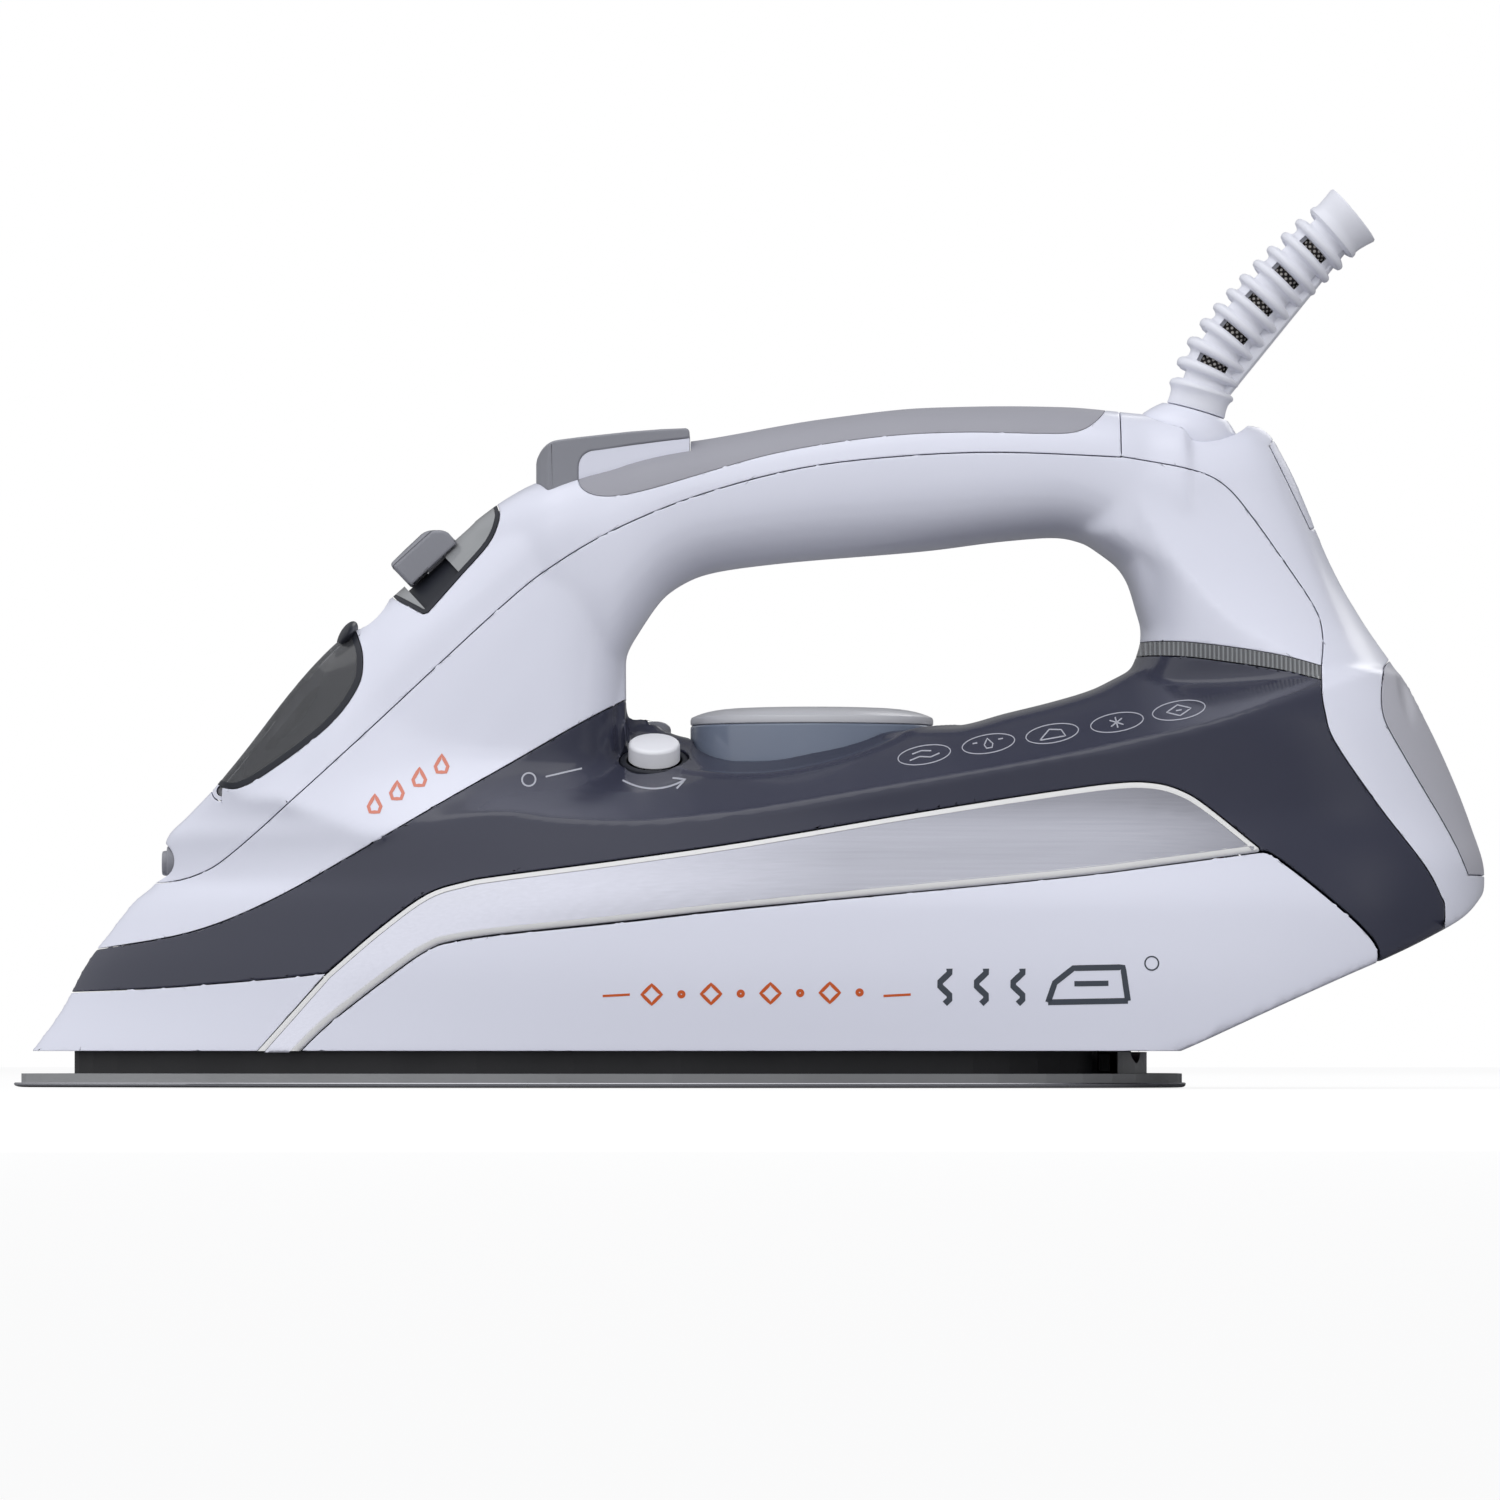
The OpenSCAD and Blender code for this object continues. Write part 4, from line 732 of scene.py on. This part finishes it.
finish(bed, dark_edge, "smoked_plastic")

# --- Steam slider ---
# A grey moulded knob with a crowned top on a short stem. Below the ridge it
# carries a guide plate and the ramp that lifts the steam valve.
key_grey = moulding("key_grey", (0.275, 0.28, 0.315), (0.26, 0.265, 0.3), (0.3, 0.4), 2000,
                    0.12, Coat_Weight=0.15, Coat_Roughness=0.3)
def profile(points, low, high, name="profile"):
    ob = prism(points, 0, (high - low) / 2 * MM, (high + low) / 2 * MM)
    ob.name = ob.data.name = name
    return ob
knob = profile([
    (-75.6, 109.6), (-67.5, 101.1), (-56.9, 109.3), (-60.9, 113.6), (-63.2, 116.2),
    (-64.3, 116.8), (-67.7, 116.8), (-69, 116), (-72.4, 112.8)], -6.4, 6.4, "steam_slider_knob")
over = copy_of(body, "over")
swell(over, 0.52)
cut(knob, over)
cut(knob, bore(15, -12, 12, ridge @ placed(0, 0, -8.2, 90), 160), "INTERSECT")
soften(knob, 0.8, 25, 4)
stem = block((-2.5, -2, -6), (2.5, 2, 2), ridge)
cut(stem, block((-5, -4, -7), (5, 4, -4.5), ridge), "UNION")
cut(stem, profile([
    (-57, 88.3), (-68.4, 79.6), (-68.4, 84), (-64, 92), (-65, 103), (-60, 106.5)], -2, 2), "UNION")
finish(join(knob, stem), key_grey, "grey_plastic", "steam_slider", angle=40, on="slider")

# --- Thumb buttons ---
# Two grey keys side by side on top of the handle, each an inverted L with a
# white body under its bar. They push the pistons of the pumps.
def arc(middle, radius, start, end, steps=6):
    return [(middle[0] + radius * cos(radians(a)), middle[1] + radius * sin(radians(a)))
            for a in np.linspace(start, end, steps)]
cap_side = ([(-45, 121.5)] + arc((-39.4, 129.9), 5.6, 180, 97, 10)
            + [
                (-36, 136), (-31.5, 136.5), (-25, 137.2), (-18.5, 137.7), (-13.4, 137.9),
                (-12.7, 137.6), (-12.6, 135.8), (-18, 135.2), (-25, 134.3), (-31.6, 133.2)]
            + arc((-32.5, 129.8), 3.4, 100, 180, 7) + [(-35.9, 121.5)])
body_side = ([(-35.88, 122), (-35.88, 129.8)] + arc((-32.5, 129.8), 3.37, 180, 100, 7)
             + [(-25, 134.27), (-18, 135.17), (-12.65, 135.77), (-12.65, 125), (-22, 122)])
for side, kind in ((-1, "spray"), (1, "steam")):
    name, key = kind + "_button", kind + "_key"
    low, high = sorted((side * 0.15, side * 12))
    cap = profile(cap_side, low, high, name + "_cap")
    cut(cap, column([(x, side * max(y, 0.15)) for x, y in key_plan], 0, 110, 150), "INTERSECT")
    soften(cap, 0.5, 30, 4)
    cut(cap, cylinder(3, 119, 134, (-37, side * 6.2)), "UNION")
    finish(cap, key_grey, "grey_plastic", name, angle=35, on=key)
    low, high = sorted((side * 0.3, side * 11.8))
    inner = profile(body_side, low, high, name + "_body")
    soften(inner, 0.12, 30, 2)
    finish(inner, white_plastic, "white_plastic", on=key)

# --- Dial ---
# The temperature dial: a blue-grey translucent disc with a light grey domed
# cap. The cap carries a printed ring of heat dots and a pointer notch.
def spun(name, points, steps=96, place=Matrix.Identity(4)):
    mesh = bpy.data.meshes.new(name)
    mesh.from_pydata([(r * MM, 0, z * MM) for r, z in points],
                     [(i, i + 1) for i in range(len(points) - 1)], [])
    ob = bpy.data.objects.new(name, mesh)
    scene.collection.objects.link(ob)
    modify(ob, "SCREW", steps=steps, render_steps=steps, use_merge_vertices=True,
           merge_threshold=0.01 * MM)
    rework(ob.data, near=0.002, outward=True)
    ob.data.transform(place)
    return ob
dial_blue = moulding("dial_blue", (0.235, 0.275, 0.365), (0.21, 0.25, 0.335), (0.14, 0.22), 1400,
                     0.05, Coat_Weight=0.3, Transmission_Weight=0.15)
cap_grey = moulding("cap_grey", (0.56, 0.565, 0.6), (0.54, 0.545, 0.58), (0.26, 0.34), 1800,
                    0.05, Coat_Weight=0.2)
dial_place = placed(13, 0, 0)
disc = spun("dial_disc", [
    (3.05, 75.8), (25.2, 75.8), (25.42, 75.6), (25.5, 75.3), (25.5, 68.1), (25.3, 67.75),
    (24.9, 67.6), (22.5, 67.6), (22.5, 74), (6, 74), (6, 69.7), (3.05, 69.7), (3.05, 75.8)],
    160, dial_place)
finish(disc, dial_blue, "dial_blue", "temperature_dial", on="dial")
def dome(r):
    return 79.6 - 2.1 * (r / 25.3) ** 6
cap = spun("dial_cap_top", [(0, 75.9), (25.25, 75.9), (25.45, 76.05), (25.5, 76.3), (25.5, 77)]
           + [(r, dome(r)) for r in (25.3, 24.8, 24, 23, 22, 20.5, 19, 17, 14, 10, 5, 0)],
           160, dial_place)
cut(cap, cylinder(1.5, 78.4, 84, (33.5, 0), 48))
finish(cap, cap_grey, "light_grey", "dial_cap", on="dial")
ink = moulding("ink", (0.05, 0.052, 0.06), (0.04, 0.042, 0.05), (0.4, 0.5))
dots = []
for group, angle in ((1, 150), (2, 110), (3, 65)):
    for k in range(group):
        turn = radians(angle + (k - (group - 1) / 2) * 6)
        dots.append(spun("heat_dot", [(0, 0.05), (0.62, 0.04), (0.75, -0.1)], 24,
                         placed(13 + 19 * cos(turn), 19 * sin(turn), dome(19))))
finish(join(*dots), ink, "light_grey", on="dial")

# --- Deck knobs ---
# The white self-clean knob on the near side and a slimmer dark one on the far
# side, each in a dark collar. Their sprung rods run down into the tank.
# The self-clean knob is the housing's white plastic painted lighter: painted light on its top and
# side.
knob_white_painted_lighter = moulding("knob_white_painted_lighter", (0.9, 0.905, 0.95), (0.88, 0.885, 0.93), (0.32, 0.4))
for side, kind, radius, top, mat, mat_slot in (
        (-1, "clean", 5.4, 4.4, knob_white_painted_lighter, "white_plastic"),
        (1, "lock", 3.3, 7.2, key_grey, "grey_plastic")):
    name = kind + "_button"
    rod = spun(name + "_rod", [(0, -26), (1.8, -26), (2, -25.8), (2, 0.8), (0, 0.8)], 48,
               knob_place(side, False))
    key = spun(name + "_key", [(0, 0.2), (radius - 0.3, 0.2), (radius, 0.5), (radius, top - 0.9),
                               (radius - 0.12, top - 0.5), (radius - 0.4, top - 0.2),
                               (radius - 0.9, top), (0, top + 0.15)], 72, knob_place(side))
    join(key, rod)
    finish(key, mat, mat_slot, name, on=kind + "_key")
    collar = spun(name + "_collar", [
        (5.75, -4.2), (7.2, -4.2), (7.2, 0.05), (7.05, 0.3), (6.6, 0.42), (6, 0.4), (5.75, 0.1),
        (5.75, -4.2)], 72, knob_place(side))
    finish(collar, dark_edge, "black_plastic")

# --- Spray nozzle ---
# A grey nozzle pushed into the nose, with a dished face round its fine hole.
jet = spun("spray_nozzle_jet", [
    (0.55, 6.3), (0.55, 0.3), (0.8, 0), (1.6, -0.45), (2.1, -0.75), (2.45, -0.65), (2.6, -0.3),
    (2.65, 0.3), (3.4, 0.3), (3.7, 0.6), (3.7, 2.1), (3.5, 2.3), (2.6, 2.3), (2.6, 6.1),
    (2.4, 6.3), (0.55, 6.3)], 72, nozzle)
finish(jet, key_grey, "grey_plastic", "spray_nozzle")

# --- Cord guard ---
# A soft white sleeve with twelve round ribs, slotted crosswise between them so
# that it bends, moulded onto a ball that swivels in a socket in the heel.
guard_white = moulding("guard_white", (0.79, 0.8, 0.87), (0.775, 0.785, 0.855), (0.34, 0.42),
                       1800, 0.1)
def lean(s):
    return radians(float(np.interp(s, (5, 18, 54), (0, 24, 34.5))))
stations = np.arange(0, 55.5, 0.25)
middle = [(0, 0)]
for k in stations[1:]:
    a = lean(k - 0.125)
    middle.append((middle[-1][0] + 0.25 * sin(a), middle[-1][1] + 0.25 * cos(a)))
middle = np.array(middle)
def bent(ob):
    for v in ob.data.vertices:
        k = v.co.z / MM
        if k > 0:
            cx, cz = (np.interp(k, stations, middle[:, i]) for i in (0, 1))
            a, x = lean(k), v.co.x
            v.co = (cx * MM + x * cos(a), v.co.y, cz * MM - x * sin(a))
    ob.data.transform(guard)
    return ob
sleeve_side = [(3.9, 0.6), (6.05, 0.6), (6.25, 0.8), (6.15, 2.2), (6.2, 3.4), (6.5, 4.2)]
for k in range(11):
    top = 5 + 4 * k
    sleeve_side += [(6.7, top - 0.75)] if k else []
    sleeve_side += [(6.93, top - 0.3), (6.95, top + 0.1), (6.8, top + 0.5), (6.45, top + 0.8),
                    (5.9, top + 1.05), (5.45, top + 1.3), (5.3, top + 1.7), (5.3, top + 2.3),
                    (5.45, top + 2.7), (5.9, top + 2.95), (6.45, top + 3.15)]
sleeve_side = sleeve_side[:-1] + [
    (6.3, 48.1), (6.75, 48.5), (6.7, 49.2), (6.35, 49.8), (6.4, 50.8), (6.7, 52.6), (7.05, 54.2),
    (6.9, 54.6), (6.4, 54.7), (4.3, 54.7), (3.9, 54.3), (3.9, 0.6)]
sleeve = spun("cord_guard_sleeve", sleeve_side, 80)
slot_rows, slot_half = [[(-12, -4.4, 3.6), (4.4, 12, 3.6)], [(-3.3, 3.3, 12)]], 0.85
for k in range(11):
    mid = 7 + 4 * k
    for low, high, wide in slot_rows[k % 2]:
        cut(sleeve, block((low, -wide, mid - slot_half), (high, wide, mid + slot_half)))
finish(bent(sleeve), guard_white, "white_plastic", "cord_guard", angle=50, on="guard")
socket_ring = spun("swivel_socket_ring", [
    (5.6, -2.4), (5.6, -0.3), (5.85, 0.15), (6.4, 0.4), (7.2, 0.3), (8.2, -0.5), (9.4, -1.65),
    (10.4, -2.8), (11, -4.2), (11.2, -6), (11.2, -20), (6.6, -20), (6.6, -15), (8.85, -9),
    (7.6, -4.6), (5.6, -2.4)], 96, guard)
finish(socket_ring, white_plastic, "white_plastic", "swivel_socket")
dress(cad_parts["swivel_ball"], guard_white)
braid, tree, face = material_of("braid", Roughness=0.85)
uv, weave = put(tree, "UVMap", uv_map="UVMap"), put(tree, "Math", operation="MULTIPLY")
for k, turn in enumerate((45, -45)):
    turned = put(tree, "Mapping", Rotation=(0, 0, radians(turn)))
    wave = put(tree, "TexWave", Scale=3.2, Distortion=0.7)
    wire(tree, (uv, "UV", turned, "Vector"), (turned, "Vector", wave, "Vector"),
         (wave, "Fac", weave, k))
tinted(tree, face, weave, 0, ((0, (0.012, 0.012, 0.014)), (0.3, (0.1, 0.075, 0.055)),
                              (0.55, (0.62, 0.6, 0.57))), 0.8, 0.2)
lead_radius = 3.4
cord = lofted("braided_lead", [[(lead_radius * cos(a) * MM, lead_radius * sin(a) * MM, s * MM)
                                for a in whole_turn(32)]
                               for s in np.arange(-17, 50.5, 1)])
layer = cord.data.uv_layers.new(name="UVMap")
for poly in cord.data.polygons:
    points = [cord.data.vertices[i].co for i in poly.vertices]
    angles = [atan2(p.y, p.x) for p in points]
    wrap = max(angles) - min(angles) > pi
    for loop, p, a in zip(poly.loop_indices, points, angles):
        layer.data[loop].uv = ((a + (2 * pi if wrap and a < 0 else 0)) * lead_radius / 10,
                               p.z / MM / 10)
finish(bent(cord), braid, "braid", "lead", on="guard")

# --- Soleplate ---
# A polished steel sheet with a rolled edge and rows of steam holes, clinched to
# the flange of the aluminium casting.
steel = moulding("sole_steel", (0.48, 0.485, 0.51), (0.43, 0.435, 0.46), (0.16, 0.3), 700, 0.04,
                 Metallic=1)
def sole_plan(inset, steps=40):
    tip, end, half = -154.5 + 2.2 * inset, 91.1 - inset, 59 - inset
    u = 1 - (np.arange(steps + 1) / steps) ** 2
    a = np.radians(np.linspace(0, 90, 24)[1:])
    side = [(10 - (10 - tip) * k, half * (1 - k * k) ** 0.8) for k in u]
    side += [(30 + (end - 30) * sin(k) ** (2 / 3.5), half * max(cos(k), 0) ** (2 / 3.5))
             for k in a]
    return side + [(x, -y) for x, y in side[-2:0:-1]]
levels = [(1.3, 0), (0.75, 0.03), (0.35, 0.14), (0.1, 0.34), (0, 0.6), (0, 0.85), (0.12, 1)]
sole = lofted("sole_sheet", [[(x * MM, y * MM, z * MM) for x, y in sole_plan(inset)]
                             for inset, z in levels])
hole_ring = [q for q in sole_plan(21, 12) if q[0] < 12]
rows = [q for i, q in enumerate(hole_ring) if i == 0 or abs(q[1]) > 7]
for x, y in rows:
    cut(sole, cylinder(1.1, -1, 3, (x, y), 32))
    cut(sole, spun("countersink", [(0, 0.35), (1.1, 0.35), (1.75, -0.3), (0, -0.3)], 32,
                   placed(x, y, 0)))
finish(sole, steel, "steel_plate", "soleplate", angle=25)

# --- Pieces inside ---
# The casting, its element and covers, pumps, springs, wiring and fixings keep
# their engineering form, each in the finish of its own material.
metal = {"Metallic": 1}
for name, light, dark, rough, grain, depth, plain, pieces in (
        ("cast_aluminium", (0.5, 0.505, 0.51), (0.4, 0.405, 0.41), (0.42, 0.62), 900, 0.5, metal,
         "heater_casting steam_chamber_cover"),
        ("shield_black", (0.02, 0.02, 0.022), (0.014, 0.014, 0.016), (0.38, 0.52), 1500, 0.3, {},
         "heat_shield cord_clamp"),
        ("drawn_steel", (0.58, 0.58, 0.59), (0.5, 0.5, 0.52), (0.18, 0.32), 1200, 0.1, metal,
         "heating_element casting_screws thermostat thermal_fuse valve_rod dial_shaft flap_pin "
         "spray_spring steam_spring clean_spring lock_spring housing_screws"),
        ("seal_rubber", (0.045, 0.045, 0.048), (0.035, 0.035, 0.038), (0.6, 0.75), 1300, 0.4, {},
         "chamber_gasket valve_seal"),
        ("milky_plastic", (0.74, 0.74, 0.72), (0.69, 0.69, 0.67), (0.3, 0.42), 1500, 0.15, {},
         "filler_neck spray_pump steam_pump spray_piston steam_piston terminal_block"),
        ("wire_insulation", (0.42, 0.05, 0.04), (0.36, 0.04, 0.035), (0.35, 0.5), 1200, 0.2, {},
         "wires"),
        ("amber_lamp", (0.85, 0.3, 0.03), (0.78, 0.26, 0.03), (0.08, 0.15), 900, 0.05,
         {"Transmission_Weight": 0.5}, "indicator_lamp"),
        ("hose_clear", (0.72, 0.74, 0.74), (0.66, 0.68, 0.68), (0.2, 0.3), 1000, 0.1,
         {"Transmission_Weight": 0.4}, "pump_hoses")):
    coat = moulding(name, light, dark, rough, grain, depth, **plain)
    for piece in pieces.split():
        dress(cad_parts[piece], coat)

# --- Printed marks ---
# Five ovals with small pictures on the deck and a water level ring in pale ink,
# and plain signs in orange, slate and salmon on panel and neck, all pad printed.
white_ink = moulding("white_ink", (0.46, 0.47, 0.53), (0.42, 0.43, 0.49))
prints = []
def ribbon(points, width, side=-1, lift=0.05, closed=False):
    line = [Vector(q) for q in points]
    fine = []
    for a, b in zip(line, line[1:] + (line[:1] if closed else [])):
        steps = max(1, int((b - a).length / 0.7))
        fine += [a.lerp(b, k / steps) for k in range(steps)]
    if not closed:
        fine.append(line[-1])
    total, edge = len(fine), []
    for i, q in enumerate(fine):
        a = fine[i - 1] if i or closed else q
        b = fine[(i + 1) % total] if i < total - 1 or closed else q
        along = (b - a).normalized()
        across = Vector((-along.y, along.x)) * width / 2
        edge += [on_skin(*(q + across), side, lift), on_skin(*(q - across), side, lift)]
    faces = [(2 * i, 2 * i + 1, (2 * i + 3) % (2 * total), (2 * i + 2) % (2 * total))
             for i in range(total if closed else total - 1)]
    prints.append(mesh_object("print", edge, faces))
pictures = [
    [([(-3.2, -0.7), (-1, -0.2), (1.2, -0.7), (3.2, -0.2)], 0),
     ([(-2.4, 0.6), (-0.4, 1), (1.6, 0.6)], 0)],
    [([(0, 1.2), (0.9, -0.1), (0.6, -0.9), (-0.6, -0.9), (-0.9, -0.1)], 1),
     ([(2.2, 0.6), (3.2, 0.6)], 0), ([(-2.2, 0.6), (-3.2, 0.6)], 0)],
    [([(-2.8, -1), (2.6, -1), (2, 0.5), (-0.4, 1), (-2.8, -1)], 0)],
    [([(-0.1, -1.2), (-0.1, 1.2)], 0), ([(-1.4, 0.7), (1.2, -0.7)], 0),
     ([(-1.4, -0.7), (1.2, 0.7)], 0)],
    [([(-2.6, 0), (0, 1.2), (2.6, 0), (0, -1.2)], 1), ([(-0.6, 0), (0.6, 0)], 0)]]
for (x, z), picture in zip([(36.1, 68.9), (49.4, 71.2), (62.6, 73.3), (76, 75.6), (88.8, 78.1)],
                           pictures):
    c, s = cos(radians(10)), sin(radians(10))
    oval = [(5.5 * cos(t), 2 * sin(t)) for t in whole_turn(40)]
    for points, closed in [(oval, 1)] + picture:
        ribbon([(x + u * c - v * s, z + u * s + v * c) for u, v in points],
               0.22 if points is oval else 0.28, closed=closed)
def ring(x, z, radius, width, tall=1):
    ribbon([(x + radius * cos(t), z + tall * radius * sin(t))
            for t in whole_turn(24)], width, closed=True)
def print_in(material):
    finish(join(*prints), material, "light_grey")
    prints.clear()
ring(-46, 64, 1.4, 0.35)
ribbon([(-42.5, 64.6), (-35, 66.4)], 0.35)
ribbon([(x, 62 + 0.045 * (x + 20) ** 2) for x in np.arange(-26.5, -13.4, 1)], 0.4)
ribbon([(-15.2, 62), (-13.4, 64), (-16.1, 64.3)], 0.4)
print_in(white_ink)
orange_ink = moulding("orange_ink", (0.62, 0.1, 0.012), (0.57, 0.09, 0.01))
for x in (-27.5, 30.2):
    ribbon([(x - 2.8, 18.9), (x + 2.8, 19.2)], 0.5)
for k in range(8):
    x, z = -20.2 + 6.1 * k, 19.2 + k * 0.06
    if k % 2:
        ring(x, z, 0.5, 0.7)
    else:
        ribbon([(x - 2, z), (x, z + 2), (x + 2, z), (x, z - 2)], 0.7, closed=True)
print_in(orange_ink)
slate_ink = moulding("slate_ink", (0.055, 0.065, 0.085), (0.05, 0.06, 0.078))
for x in (40, 47.5, 55):
    ribbon([(x + 1.1 * sin(1.05 * k), 17.3 + 0.9 * k) for k in range(9)], 1.3)
ribbon([(61.2, 17.6), (77.6, 17.9)], 1.2)
ribbon([(61.2, 17.6), (62.6, 21.6), (66.4, 24.6), (76.6, 24.8), (77.6, 17.9)], 1.2)
ribbon([(66.6, 21.4), (73.6, 21.5)], 1.1)
ring(82.5, 25.6, 1.4, 0.3)
print_in(slate_ink)
salmon_ink = moulding("salmon_ink", (0.72, 0.24, 0.17), (0.69, 0.22, 0.155))
for k in range(4):
    x, z = -78 + 4.6 * k, 58.4 + 2.8 * k
    ribbon([(x, z + 2.4), (x + 1.3, z), (x + 0.9, z - 1.2), (x - 0.9, z - 1.2), (x - 1.3, z)],
           0.75, closed=True)
print_in(salmon_ink)

drop(body, hollow, core)
